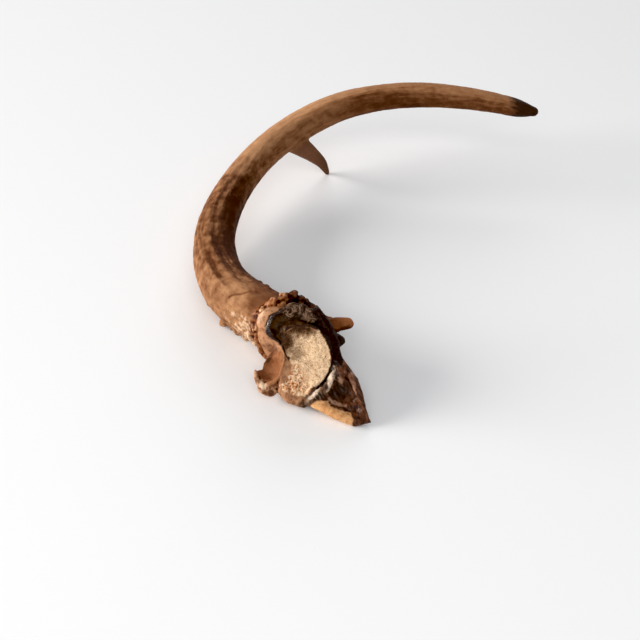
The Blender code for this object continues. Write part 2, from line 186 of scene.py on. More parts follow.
def waves(points, size, seed, stretch=(1.0, 1.0, 1.0)):
    """Smooth random waves from about -1 to 1. Each corner of a grid of cubes has a random
    slope, and a point blends the eight slopes round it by the smooth step 6t5 - 15t4 + 10t3."""
    place = points / (size * np.array(stretch))
    cell = np.floor(place)
    inside = place - cell
    blend = inside ** 3 * (inside * (inside * 6 - 15) + 10)
    total = np.zeros(len(points))
    for corner in np.ndindex(2, 2, 2):
        at = cell + corner
        slope = np.stack([scramble(at, 3 * seed + axis) * 2 - 1 for axis in range(3)], -1)
        weight = np.where(corner, blend, 1 - blend).prod(axis=1)
        total += ((inside - corner) * slope).sum(axis=1) * weight
    return total * 1.8


def pebbles(points, size, seed):
    """How far a point is from the nearest of many scattered middles, in cells: each cube of a
    grid holds one middle at a random place, and the 27 cubes round the point are searched."""
    place = points / size
    cell = np.floor(place)
    nearest = np.full(len(points), 9.0)
    for step in np.ndindex(3, 3, 3):
        at = cell + step - 1
        middle = at + np.stack([scramble(at, 3 * seed + axis) for axis in range(3)], -1)
        nearest = np.minimum(nearest, ((place - middle) ** 2).sum(axis=1))
    return np.sqrt(nearest)


def smooth_step(value, low, high):
    """0 below low, 1 above high, and the curve 3t2 - 2t3 between them."""
    share = np.clip((value - low) / (high - low), 0.0, 1.0)
    return share * share * (3 - 2 * share)


test = np.random.default_rng(1).uniform(0, 50, (2000, 3))
print("waves run from %.2f to %.2f, pebbles from %.2f to %.2f" % (
    waves(test, 3.0, 1).min(), waves(test, 3.0, 1).max(),
    pebbles(test, 3.0, 1).min(), pebbles(test, 3.0, 1).max()))

# %% [markdown]
# ## The centre lines
# An antler is a round limb that tapers along a curve. A few stations (x, y, z, radius) hold
# its course, and a cubic curve through them gives the points between. The beam has the same
# stations as its solids, and the two tines are fitted again here, within a few millimetres.

# %% Stations of the beam, the fork tine and the brow tine
BEAM = np.array((
    (-21.2, -40.5, 26.0, 18.1), (-36.8, -24.0, 23.5, 18.4), (-48.2, -11.5, 21.5, 18.3),
    (-60.3, 4.0, 20.5, 17.6), (-71.8, 32.0, 21.5, 15.8), (-75.3, 60.0, 24.0, 14.7),
    (-71.7, 90.2, 27.5, 13.6), (-58.3, 129.3, 32.0, 12.3), (-39.9, 158.1, 38.0, 11.8),
    (-13.9, 180.6, 46.0, 11.8), (16.0, 192.6, 55.0, 10.9), (46.8, 197.8, 60.0, 10.1),
    (77.9, 198.7, 62.0, 9.7), (108.4, 194.7, 62.0, 8.8), (139.1, 188.5, 60.0, 7.5),
    (154.3, 184.8, 58.0, 6.5), (165.0, 183.2, 56.3, 3.6)))
TINE = np.array((
    (-27.0, 171.5, 42.0, 10.0), (-16.5, 173.8, 32.0, 8.2), (-6.5, 176.2, 22.0, 5.9),
    (1.2, 179.2, 12.0, 4.1), (5.6, 181.6, 1.6, 2.0)))
BROW_TINE = np.array((
    (-8.0, -31.0, 21.0, 10.5), (0.5, -32.6, 21.6, 8.6), (6.5, -33.8, 23.2, 6.4),
    (12.0, -35.0, 25.6, 4.7), (18.3, -36.4, 27.8, 4.0)))


def smooth_path(stations, step):
    """Points, radii and lengths along a cubic Hermite curve: between two stations it blends
    their places by 2t3 - 3t2 + 1 and their slopes by t3 - 2t2 + t."""
    chord = np.linalg.norm(np.diff(stations[:, :3], axis=0), axis=1)
    along = np.concatenate(([0.0], np.cumsum(chord)))
    slopes = np.gradient(stations, along, axis=0)
    at = np.linspace(0.0, along[-1], max(4, round(along[-1] / step)))
    left = np.clip(np.searchsorted(along, at, side="right") - 1, 0, len(along) - 2)
    width = along[left + 1] - along[left]
    t = ((at - along[left]) / width)[:, None]
    a, b = stations[left], stations[left + 1]
    m, n = slopes[left] * width[:, None], slopes[left + 1] * width[:, None]
    curve = (2 * t**3 - 3 * t**2 + 1) * a + (t**3 - 2 * t**2 + t) * m
    curve += (3 * t**2 - 2 * t**3) * b + (t**3 - t**2) * n
    return curve[:, :3], curve[:, 3], at


def unit(vectors):
    """The same directions, one long."""
    return vectors / np.linalg.norm(vectors, axis=-1, keepdims=True)


def path_frames(points):
    """Directions along, sideways and up for each point of a path: sideways is level."""
    along = unit(np.gradient(points, axis=0))
    side = unit(np.cross((0.0, 0.0, 1.0), along))
    return along, side, np.cross(along, side)


BEAM_STEP = 0.5                      # mm between the points of the beam's centre line
beam_line, beam_radius, beam_length = smooth_path(BEAM, BEAM_STEP)
print("the beam is %.0f mm round its curve" % beam_length[-1])

# %% [markdown]
# ## Limbs, pearls and the collar as grids
# A limb is a circle carried along its centre line: one parameter goes round, the other goes
# along, and the last rings shrink to a point so that the end is round and closed. A pearl is
# the same idea on a sphere. The shells may overlap, because the next step fuses them.

# %% Shells from two parameters
def close_grid(rings):
    """Points and four-cornered faces of a tube of rings, with a pole point at each end."""
    rows, columns = rings.shape[:2]
    first = rings[0].mean(axis=0)
    last = rings[-1].mean(axis=0)
    points = np.concatenate((rings.reshape(-1, 3), [first, last]))
    row, column = np.meshgrid(np.arange(rows - 1), np.arange(columns), indexing="ij")
    beside = (column + 1) % columns
    body = np.stack((row * columns + column, row * columns + beside,
                     (row + 1) * columns + beside, (row + 1) * columns + column), -1)
    pole = rows * columns
    ring = np.arange(columns)
    after = (ring + 1) % columns
    end = (rows - 1) * columns
    caps = np.concatenate((
        np.stack((np.full(columns, pole), after, ring), -1),
        np.stack((np.full(columns, pole + 1), end + ring, end + after), -1)))
    triangles = np.concatenate((body.reshape(-1, 4)[:, [0, 1, 2]],
                                body.reshape(-1, 4)[:, [0, 2, 3]], caps))
    return points, triangles


def limb(stations, step=1.0, columns=64, dome=8):
    """A circle of radius r(s) carried along the path p(s): p + r (side cos a + up sin a).
    It starts flat, and past its end the radius shrinks as a quarter circle, r sqrt(1 - t2)."""
    line, radius, _ = smooth_path(stations, step)
    along, side, up = path_frames(line)
    swing = np.linspace(0.0, np.pi / 2, dome + 1)[1:-1]
    places = np.concatenate((line, line[-1] + along[-1] * (radius[-1] * np.sin(swing))[:, None]))
    radii = np.concatenate((radius, radius[-1] * np.cos(swing)))
    sides = np.concatenate((side, np.repeat(side[-1:], len(swing), 0)))
    ups = np.concatenate((up, np.repeat(up[-1:], len(swing), 0)))
    turn = np.linspace(0.0, 2 * np.pi, columns, endpoint=False)
    ring = (sides[:, None] * np.cos(turn)[None, :, None]
            + ups[:, None] * np.sin(turn)[None, :, None])
    return close_grid(places[:, None] + ring * radii[:, None, None])


def pearl(middle, radius, squash=1.0, axis=(0.0, 0.0, 1.0), rows=9, columns=14):
    """A sphere, middle + radius (ring sin a + axis cos a), flattened along its axis."""
    axis = unit(np.array(axis, float))
    side = unit(np.cross(axis, (0.31, 0.52, 0.79)))
    other = np.cross(axis, side)
    down = np.linspace(0.0, np.pi, rows + 2)[1:-1]
    turn = np.linspace(0.0, 2 * np.pi, columns, endpoint=False)
    ring = side * np.cos(turn)[:, None] + other * np.sin(turn)[:, None]
    rings = (ring[None] * np.sin(down)[:, None, None]
             - axis * (squash * np.cos(down))[:, None, None])
    return close_grid(np.array(middle) + radius * rings)


print("a pearl has", len(pearl((0, 0, 0), 1.0)[1]), "triangles")

# %% [markdown]
# ## The burr
# The burr is the knobbly crown where the antler was joined to its stump of skull. It is a
# collar with beads all round it: large dark ones on top, small pale ones at the left. Behind
# it the base is strewn with pearls, which thin out along the beam, and a row of big ones
# underneath carries the antler's weight. What can be seen one by one is set one by one here.

# %% Where the beads and pearls sit
BURR_AT = np.array((-20.5, -40.0, 26.5))
BURR_FACES = unit(np.array((0.30, -0.91, 0.28)))
BURR_BEADS = (                       # degrees round the burr, mm from its axis, mm of radius
    (3, 23.6, 3.3), (20, 21.8, 3.9), (35, 21.0, 2.8), (48, 20.6, 3.0), (62, 22.4, 3.0),
    (76, 23.8, 3.4), (89, 22.4, 3.3), (100, 22.6, 2.4), (109, 22.8, 3.0), (122, 22.2, 3.2),
    (134, 23.4, 2.6), (146, 21.4, 2.7), (158, 20.6, 2.3), (169, 21.4, 2.6), (180, 21.6, 2.4),
    (191, 22.3, 2.7), (203, 22.6, 2.5), (213, 23.4, 2.3), (222, 23.8, 2.6), (233, 24.2, 2.9),
    (246, 22.6, 2.6), (258, 21.6, 3.0), (271, 21.0, 2.6), (284, 21.6, 2.9), (297, 21.2, 2.5),
    (310, 21.8, 2.9), (324, 21.4, 2.6), (338, 22.0, 3.1), (351, 22.8, 2.7))
# More beads inside the ring, in the same terms.
INNER_BEADS = ((102.0, 18.4, 3.3), (119.0, 19.0, 2.9), (136.0, 19.8, 3.1), (151.0, 20.4, 2.3),
               (60.0, 19.6, 2.4), (34.0, 19.8, 2.5), (12.0, 20.0, 2.6))
# The big pearls under the base, as x, y, z and radius in mm.
KNOBS = ((-65.2, -6.3, 4.0, 4.0), (-59.0, -12.0, 5.4, 3.6), (-54.8, -16.4, 5.0, 4.4),
         (-49.0, -23.4, 6.0, 4.0), (-42.0, -29.6, 6.6, 3.8), (-37.0, -34.6, 6.4, 3.6),
         (-33.0, -39.0, 6.0, 3.6), (-29.0, -42.4, 5.4, 3.0))
SMOOTH_SIDE = (20.0, 115.0)          # degrees round the beam: its top, where no pearls grew
BEAD_SUNK = 0.4                      # mm that a bead sits nearer to the axis than the table says
BEAD_BACK = (0.2, 1.8)               # least and most mm behind the burr's plane
SECOND_TURN = (3, 9)                 # degrees from a bead to the smaller one behind it
SECOND_IN = (1.5, 3.0)               # mm nearer to the axis
SECOND_BACK = (4, 6)                 # mm behind the plane
SECOND_SIZE = 0.75                   # its radius as a share of the first one's
INNER_FORWARD = 1.0                  # mm that the inner beads stand in front of the plane
COLLAR = (17.6, 2.4, 2.6, 3.0)       # mm: least radius, swell, half width, way behind the plane
BASE_PEARLS = 90
BASE_START, BASE_REACH = 6.0, 58.0   # mm from the burr to the first pearls, and on to the last
BASE_SIZES = (1.6, 3.6)              # mm of radius
BASE_STRAY = 30                      # degrees that a pearl strays from its turn
BASE_SUNK = (0.3, 0.75)              # how deep a pearl sits, in its own radii
GOLDEN_ANGLE = 137.508               # degrees: turns of this size never line up
burr_across = unit(np.cross((0.0, 0.0, 1.0), BURR_FACES))
burr_up = np.cross(BURR_FACES, burr_across)
print(len(BURR_BEADS), "beads round the burr,", len(INNER_BEADS), "inside it and",
      len(KNOBS), "big pearls below")

# %% [markdown]
# ## The beads, one by one
# Each bead is a slightly flattened sphere, turned to face out from the burr's axis. A table
# gives its turn, distance and size, and seeded random numbers make it stray a little, so that
# no two look alike but every run gives the same crown.

# %% Beads
def round_burr(degrees):
    """The way out from the burr's axis at a turn: across cos a + up sin a."""
    turn = np.radians(degrees)
    return burr_across * np.cos(turn) + burr_up * np.sin(turn)


def behind_burr(shell):
    """The same shell with whatever stands in front of the burr's plane pressed flat on it."""
    points, faces = shell
    front = np.maximum((points - BURR_AT) @ BURR_FACES, 0.0)
    return points - front[:, None] * BURR_FACES, faces


def burr_shells(random):
    """Beads round the burr: middle + way out * distance. Behind each stands a smaller one, so
    that the crown has a ragged second row, and a few more lie inside the ring."""
    shells = []
    for degrees, out, radius in BURR_BEADS:
        way = round_burr(degrees)
        at = BURR_AT + way * (out - BEAD_SUNK) - BURR_FACES * random.uniform(*BEAD_BACK)
        shells.append(pearl(at, radius, random.uniform(0.75, 1.0), way))
        way = round_burr(degrees + random.uniform(*SECOND_TURN))
        at = BURR_AT + way * (out - random.uniform(*SECOND_IN))
        at = at - BURR_FACES * random.uniform(*SECOND_BACK)
        shells.append(pearl(at, SECOND_SIZE * radius, 0.8, way))
    for degrees, out, radius in INNER_BEADS:
        way = round_burr(degrees)
        shells.append(pearl(BURR_AT + way * out + INNER_FORWARD * BURR_FACES, radius, 0.8, way))
    return shells


random = np.random.default_rng(7)
bead_shells = burr_shells(random)
print(len(bead_shells), "beads")

# %% [markdown]
# ## Collar and base pearls
# The beads sit on a ring of bone. Behind it, the pearls of the base are set at turns of the
# golden angle, which spreads them evenly without rows, and they get rarer and smaller along
# the beam. The beam's top stays smooth, as it is on the real one.

# %% Collar, base pearls and all shells
def collar_shell():
    """The ring that carries the beads: a half-ellipse profile turned about the burr's axis."""
    least, swell, half_width, back = COLLAR
    turn = np.linspace(0.0, 2 * np.pi, 96, endpoint=False)
    ring = burr_across * np.cos(turn)[:, None] + burr_up * np.sin(turn)[:, None]
    lift = np.linspace(-1.0, 1.0, 9)
    radius = least + swell * np.sqrt(1 - (0.96 * lift) ** 2)
    rings = (ring[None] * radius[:, None, None]
             + BURR_FACES * (half_width * lift - back)[:, None, None])
    return close_grid(BURR_AT + rings[::-1])


def base_shells(random):
    """Low pearls sunk in the base, at golden-angle turns, crowded towards the burr."""
    _, side, up = path_frames(beam_line)
    shells = []
    for number in range(BASE_PEARLS):
        share = (number / BASE_PEARLS) ** 1.3
        k = int(np.searchsorted(beam_length, BASE_START + share * BASE_REACH))
        stray = random.uniform(-BASE_STRAY, BASE_STRAY)
        degrees = (GOLDEN_ANGLE * number + stray) % 360
        radius = random.uniform(*BASE_SIZES) * (1.0 - 0.4 * share)
        if SMOOTH_SIDE[0] < degrees < SMOOTH_SIDE[1] and share > 0.08:
            continue
        way = side[k] * np.cos(np.radians(degrees)) + up[k] * np.sin(np.radians(degrees))
        spot = beam_line[k] + way * (beam_radius[k] - random.uniform(*BASE_SUNK) * radius)
        shells.append(behind_burr(pearl(spot, radius, 0.9, way)))
    return shells


antler_shells = [behind_burr(limb(BEAM)), limb(TINE), limb(BROW_TINE, columns=40), collar_shell()]
antler_shells += bead_shells + base_shells(random)
antler_shells += [pearl(knob[:3], knob[3]) for knob in KNOBS]
print(len(antler_shells), "shells make the antler")

# %% [markdown]
# ## One skin
# The real antler is one growth, so the overlapping shells are fused: a voxel remesh keeps
# only the outside, in even little squares. A few rounds of averaging with the neighbours
# then take away the squares' steps, and more of them at the forks give the webs of bone that
# run from beam to tine.

# %% Fuse and soften
ANTLER_VOXEL = 0.58                  # mm
SOFT_ROUNDS, WEB_ROUNDS = 4, 40      # rounds of averaging everywhere, and more at the forks
FORKS = ((-21.0, 173.0, 38.0, 19.0), (-4.0, -32.0, 23.0, 9.0))    # middles and reaches in mm


def neighbour_average(points, edges):
    """For each point, the mean of the points it shares an edge with."""
    a, b = edges[:, 0], edges[:, 1]
    many = np.bincount(a, minlength=len(points)) + np.bincount(b, minlength=len(points))
    total = np.stack([np.bincount(a, points[b, i], len(points))
                      + np.bincount(b, points[a, i], len(points)) for i in range(3)], -1)
    return total / np.maximum(many, 1)[:, None]


def soften(points, edges, rounds, share=0.5):
    """Moves each point part of the way to its neighbours' mean, some times over."""
    share = np.asarray(share)
    share = share[:, None] if share.ndim else share
    for _ in range(rounds):
        points = points + share * (neighbour_average(points, edges) - points)
    return points


def fuse(name, shells, voxel):
    """Joins the shells and remeshes them into one closed skin."""
    first = np.cumsum([0] + [len(points) for points, _ in shells[:-1]])
    rough = mesh_object(name + "_rough", np.concatenate([points for points, _ in shells]),
                        np.concatenate([faces + at for (_, faces), at in zip(shells, first)]))
    remesh = rough.modifiers.new("fuse", "REMESH")
    remesh.mode = "VOXEL"
    remesh.voxel_size = voxel * MM
    remesh.adaptivity = 0.0
    mesh = modified_mesh(rough)
    bpy.data.objects.remove(rough, do_unlink=True)
    return new_object(name, mesh)


antler = fuse("antler", antler_shells, ANTLER_VOXEL)
points, _, edges = mesh_arrays(antler)
web = np.zeros(len(points))
for x, y, z, radius in FORKS:
    apart = np.linalg.norm(points - (x, y, z), axis=1)
    web = np.maximum(web, 1 - smooth_step(apart, 0.7 * radius, radius))
points = soften(points, edges, SOFT_ROUNDS)
points = soften(points, edges, WEB_ROUNDS, 0.5 * web)
set_points(antler, points)
print("antler skin:", len(points), "points,", triangle_count(antler), "triangles")

# %% [markdown]
# ## Round and along
# Furrows, grain and veins all run with the limb. So each point of the skin gets two new
# coordinates: how far along its limb it is, and at what turn round it. A point belongs to
# the limb whose skin it is nearest to.

# %% Coordinates that follow the limb
BATCH = 20000                        # points compared at once, which keeps the memory small
FAR_OFF = 99.0                       # mm, farther than anything that is measured here


def limb_coordinates(points, stations):
    """Length along, turn and distance in radii from the nearest place of a centre line. The
    nearest sample is found first, and then the exact foot on the line through it."""
    line, radius, length = smooth_path(stations, 1.0)
    along, side, up = path_frames(line)
    nearest = np.empty(len(points), int)
    for start in range(0, len(points), BATCH):
        part = points[start:start + BATCH]
        apart = (part ** 2).sum(1)[:, None] - 2 * part @ line.T + (line ** 2).sum(1)
        nearest[start:start + BATCH] = apart.argmin(axis=1)
    offset = points - line[nearest]
    step = np.clip((offset * along[nearest]).sum(1), -0.6, 0.6)
    at = np.clip(length[nearest] + step, 0.0, length[-1])
    flat = offset - along[nearest] * (offset * along[nearest]).sum(1)[:, None]
    turn = np.arctan2((flat * up[nearest]).sum(1), (flat * side[nearest]).sum(1))
    return at, turn, np.linalg.norm(offset, axis=1) / radius[nearest]


def line_distance(at, turn, line, radius):
    """Distance in mm, over the unrolled skin, from a line drawn as (length, degrees)."""
    best = np.full(len(at), FAR_OFF)
    for (at0, turn0), (at1, turn1) in zip(line, line[1:]):
        x, y = at - at0, np.radians(np.degrees(turn) - turn0) * radius
        way_x, way_y = at1 - at0, np.radians(turn1 - turn0) * radius
        share = np.clip((x * way_x + y * way_y) / (way_x ** 2 + way_y ** 2), 0.0, 1.0)
        best = np.minimum(best, np.hypot(x - way_x * share, y - way_y * share))
    return best


print("a point 10 mm above the beam's middle:",
      [round(float(part[0]), 2) for part in
       limb_coordinates(beam_line[len(beam_line) // 2][None] + (0, 0, 10.0), BEAM)])

# %% [markdown]
# ## Furrows, veins and pearls
# Blood vessels ran along the growing antler and left furrows with ridges between them. Those
# are cosine waves round the limb that wander slowly along it. One raised vein, the dark furrow
# beside it and a crack above the burr stand out on the lower beam, so they are drawn as lines
# in the limb's own coordinates. Grain and lumps come from the random fields.

# %% Drawn lines and numbers of each point
# Along the beam in mm, with how strong the furrows are and how worn and pale it is there.
FURROW_DEPTH = ((0.0, 0.2), (50.0, 0.9), (110.0, 0.8), (180.0, 0.45), (300.0, 0.35), (450.0, 0.1))
PALENESS = ((0, 0.5), (60, 0.45), (100, 0.4), (150, 0.4), (200, 0.74), (275, 0.84), (312, 0.56),
            (345, 0.46), (385, 0.48), (445, 0.4))
# Lines drawn on the beam's skin, as mm along and degrees round, and how wide each is in mm.
VEIN = ((38.0, 49.0), (54.6, 56.0), (66.0, 57.0), (82.0, 54.0), (108.0, 44.0), (135.0, 30.0))
VEIN_FURROW = ((50.0, 70.0), (60.0, 69.0), (72.0, 69.0), (84.0, 70.0), (100.0, 63.0))
CRACK = ((31.0, 84.0), (32.0, 76.0), (35.0, 66.0), (39.5, 56.0), (42.0, 46.0))
VEIN_WIDTH, VEIN_FURROW_WIDTH, CRACK_WIDTH = 1.6, 2.3, 1.0
# Degrees round the burr, with how dark its crown is: a dark stain with painted shade on it.
CROWN_DARK = ((-180, 0.3), (-120, 0.3), (-60, 0.6), (-20, 0.95), (10, 1.0), (72, 1.0),
              (84, 0.8), (98, 0.15), (138, 0.0), (150, 0.2), (180, 0.3))


def antler_fields(points):
    """All that the relief and the finish need to know of each point, by name."""
    beam_at, beam_turn, beam_out = limb_coordinates(points, BEAM)
    tine_at, tine_turn, tine_out = limb_coordinates(points, TINE)
    brow_at, _, brow_out = limb_coordinates(points, BROW_TINE)
    radius = np.interp(beam_at, beam_length, beam_radius)
    on_tine = smooth_step(beam_out - tine_out, -0.05, 0.35)
    on_brow = smooth_step(beam_out - brow_out, -0.1, 0.3) * smooth_step(brow_at, 2.0, 8.0)
    on_beam = (1 - on_tine) * (1 - on_brow)
    unrolled = np.stack((np.cos(beam_turn) * radius, np.sin(beam_turn) * radius, beam_at), -1)
    tine_unrolled = np.stack((np.cos(tine_turn) * 8, np.sin(tine_turn) * 8, tine_at + 90), -1)
    unrolled += on_tine[:, None] * (tine_unrolled - unrolled)
    from_burr = points - BURR_AT
    before = from_burr @ BURR_FACES
    from_axis = np.linalg.norm(from_burr - before[:, None] * BURR_FACES, axis=1)
    on_burr = smooth_step(before, -8.5, -6.0) * smooth_step(from_axis, 15.0, 18.0)
    burr_turn = np.degrees(np.arctan2(from_burr @ burr_up, from_burr @ burr_across))
    topmost = smooth_step(np.sin(beam_turn), 0.2, 0.8)
    low = (1 - smooth_step(points[:, 2], 5.0, 11.0)) * (1 - smooth_step(beam_at, 60.0, 80.0))

    def drawn(line, width):
        """1 on a line drawn on the beam, falling off beside it as a bell curve."""
        return on_beam * np.exp(-(line_distance(beam_at, beam_turn, line, radius) / width) ** 2)

    furrow_stretch = smooth_step(beam_at, 46.0, 62.0) * (1 - smooth_step(beam_at, 88.0, 106.0))
    return {
        "unrolled": unrolled, "along": beam_at, "turn": beam_turn, "on_beam": on_beam,
        "on_tine": on_tine, "tine_at": tine_at, "on_brow": on_brow, "brow_at": brow_at,
        "on_burr": on_burr * (1 - on_brow), "topmost": topmost, "low": low * on_beam,
        "paleness": np.interp(beam_at, *np.array(PALENESS).T),
        "crown_dark": np.interp(burr_turn, *np.array(CROWN_DARK).T),
        "pearly": on_beam * (1 - smooth_step(beam_at, 12.0, 62.0)),
        "vein": drawn(VEIN, VEIN_WIDTH), "crack": drawn(CRACK, CRACK_WIDTH),
        "vein_furrow": drawn(VEIN_FURROW, VEIN_FURROW_WIDTH) * furrow_stretch}


points, normals, _ = mesh_arrays(antler)
fields = antler_fields(points)
print("share of the skin on the beam: %.2f" % fields["on_beam"].mean())

# %% [markdown]
# ## From the numbers to a height
# Every form is a height in mm over the plain limb, and each is weighted by the region where it
# grows. The sum moves the point along its normal. This shapes the mesh itself, so the pearls
# and furrows also show in the outline and cast shadows, which a bump in the material can't.

# %% Relief of the antler
# Waves round the beam: how many, mm high, phase, and how fast each wanders along it.
FURROWS = ((5, 0.34, 1.3, 28.0), (8, 0.26, 2.1, 41.0), (13, 0.17, 0.7, 55.0))
WANDER = 1.4                         # radians that a furrow strays to either side
VEIN_HEIGHT, VEIN_FURROW_DEPTH, CRACK_DEPTH, GRAIN_HEIGHT = 0.7, 0.7, 0.5, 0.12     # mm
LUMP_HEIGHT, BEAD_HEIGHT, BROW_HEIGHT = 0.7, 0.35, 0.5                              # mm


def antler_relief(points, fields):
    """Height in mm of each point's relief over the plain limbs: furrows, vein and crack, with
    lumps and beads near the burr, gentle lumps on the brow tine and fine grain everywhere."""
    furrow = np.zeros(len(points))
    for around, height, phase, wander in FURROWS:
        swing = WANDER * np.sin(wander * fields["along"] * MM + phase)
        furrow += height * np.cos(around * fields["turn"] + phase + swing)
    furrow *= np.interp(fields["along"], *np.array(FURROW_DEPTH).T) * fields["on_beam"]
    unrolled = fields["unrolled"]
    grain = (waves(unrolled, 2.1, 5, (1, 1, 5)) + 0.7 * waves(unrolled, 1.1, 6, (1, 1, 5))
             + 0.8 * waves(points, 3.1, 12))
    lumps = waves(points, 5.2, 8) + 0.5 * waves(points, 2.4, 9)
    beads = np.clip(1 - pebbles(points, 3.0, 11) ** 2 * 1.5, 0, 1)
    pearly, on_burr = fields["pearly"], fields["on_burr"]
    bare = fields["topmost"] * smooth_step(fields["along"], 10.0, 18.0)
    height = furrow * (1 - 0.75 * fields["vein"]) + VEIN_HEIGHT * fields["vein"]
    height -= VEIN_FURROW_DEPTH * fields["vein_furrow"] + CRACK_DEPTH * fields["crack"]
    height += pearly * (1 - 0.8 * bare) * (LUMP_HEIGHT * lumps + BEAD_HEIGHT * beads - 0.2)
    height += on_burr * (0.2 * lumps + 0.08 * waves(points, 1.3, 10))
    height += fields["low"] * (LUMP_HEIGHT * waves(points, 3.0, 14)
                               + 0.3 * waves(points, 1.5, 15))
    height += fields["on_brow"] * (BROW_HEIGHT * waves(points, 3.6, 16)
                                   + 0.2 * waves(points, 1.6, 17))
    return height + GRAIN_HEIGHT * grain * (1 - 0.5 * pearly) * (1 - 0.4 * fields["on_tine"])


height = antler_relief(points, fields)
points = points + normals * height[:, None]
points[:, 2] = np.maximum(points[:, 2], 0.0)
set_points(antler, points)
print("relief of the antler runs from %.2f to %.2f mm" % (height.min(), height.max()))

# %% [markdown]
# ## Fewer triangles where it is smooth
# The long smooth beam doesn't need squares as small as the pearly base does. Decimating
# merges the flattest triangles first, so the count drops and the pearls keep their shape.

# %% Thin out the antler's mesh
ANTLER_TRIANGLES = 190000
collapse = antler.modifiers.new("thin_out", "DECIMATE")
collapse.ratio = ANTLER_TRIANGLES / triangle_count(antler)
thinned = modified_mesh(antler)
antler.modifiers.clear()
antler.data = thinned
shade_smooth(antler)
print("antler:", len(thinned.vertices), "points,", triangle_count(antler), "triangles")

# %% [markdown]
# ## Worn ridges, and hollows with dirt and painted shade
# On old bone the high spots are rubbed pale and the hollows keep dirt, and the finish also
# paints the rises paler and the hollows darker, as painted light and shade. How far a point
# stands above its smoothed surroundings says which it is, so that difference is stored for
# the finish, together with the limb's coordinates.

# %% Numbers that the antler's finish reads
CROOK_MIDDLE = np.array((20.0, 80.0, 45.0))      # a place inside the crook, in mm
SMALL_ROUNDS = 5                                 # softening that levels single pearls
ANTLER_LARGE_ROUNDS = 30                         # and that levels groups of them


def stand_out(obj, rounds):
    """How far each point stands above the same skin after some rounds of softening, in mm."""
    points, normals, edges = mesh_arrays(obj)
    return ((points - soften(points, edges, rounds)) * normals).sum(axis=1)


points, normals, _ = mesh_arrays(antler)
fields = antler_fields(points)
fields["inward"] = (normals * unit(CROOK_MIDDLE - points)).sum(axis=1)
fields["faces_up"] = normals[:, 2]
fields["relief_small"] = stand_out(antler, SMALL_ROUNDS)
fields["relief_large"] = stand_out(antler, ANTLER_LARGE_ROUNDS)
for name, values in fields.items():
    keep(antler, name, values)
print("small relief from %.2f to %.2f mm" % (fields["relief_small"].min(),
                                             fields["relief_small"].max()))

# %% [markdown]
# ## Writing shader maths as expressions
# A material is a graph of nodes, and its maths reads best as ordinary expressions. `Wire`
# wraps the output of a node, so that `1 - mask * 0.5` adds the Math nodes that it needs. It
# asks the material that it belongs to for them, and that class comes next.

# %% The expression class
class Wire:
    """A node's output. Sums, differences and products of wires and numbers add Math nodes."""

    def __init__(self, finish, socket):
        self.finish = finish
        self.socket = socket

    def math(self, operation, first, second):
        """A Math node on two wires or numbers."""
        return self.finish.node("ShaderNodeMath", {"operation": operation},
                                {0: first, 1: second})

    def __add__(self, other):
        return self.math("ADD", self, other)

    __radd__ = __add__

    def __sub__(self, other):
        return self.math("SUBTRACT", self, other)

    def __rsub__(self, other):
        return self.math("SUBTRACT", other, self)

    def __mul__(self, other):
        return self.math("MULTIPLY", self, other)

    __rmul__ = __mul__

    def step(self, low, high):
        """0 at low and 1 at high, with a smooth way between, also where high is the lesser."""
        return self.finish.node(
            "ShaderNodeMapRange", {"interpolation_type": "SMOOTHSTEP"},
            {"Value": self, "From Min": low, "From Max": high})

    def held(self):
        """Held between 0 and 1."""
        return self.finish.node("ShaderNodeClamp", {}, {"Value": self})


print("a wire can", ", ".join(name.strip("_") for name in vars(Wire) if name != "__init__"
                              and callable(getattr(Wire, name))))

# %% [markdown]
# ## One object for one material
# `Finish` makes the material and holds its tree of nodes. Every node comes from the same
# method, which takes the settings first, because some of them decide which inputs a node
# has. The short methods after it are the few nodes that these finishes need.

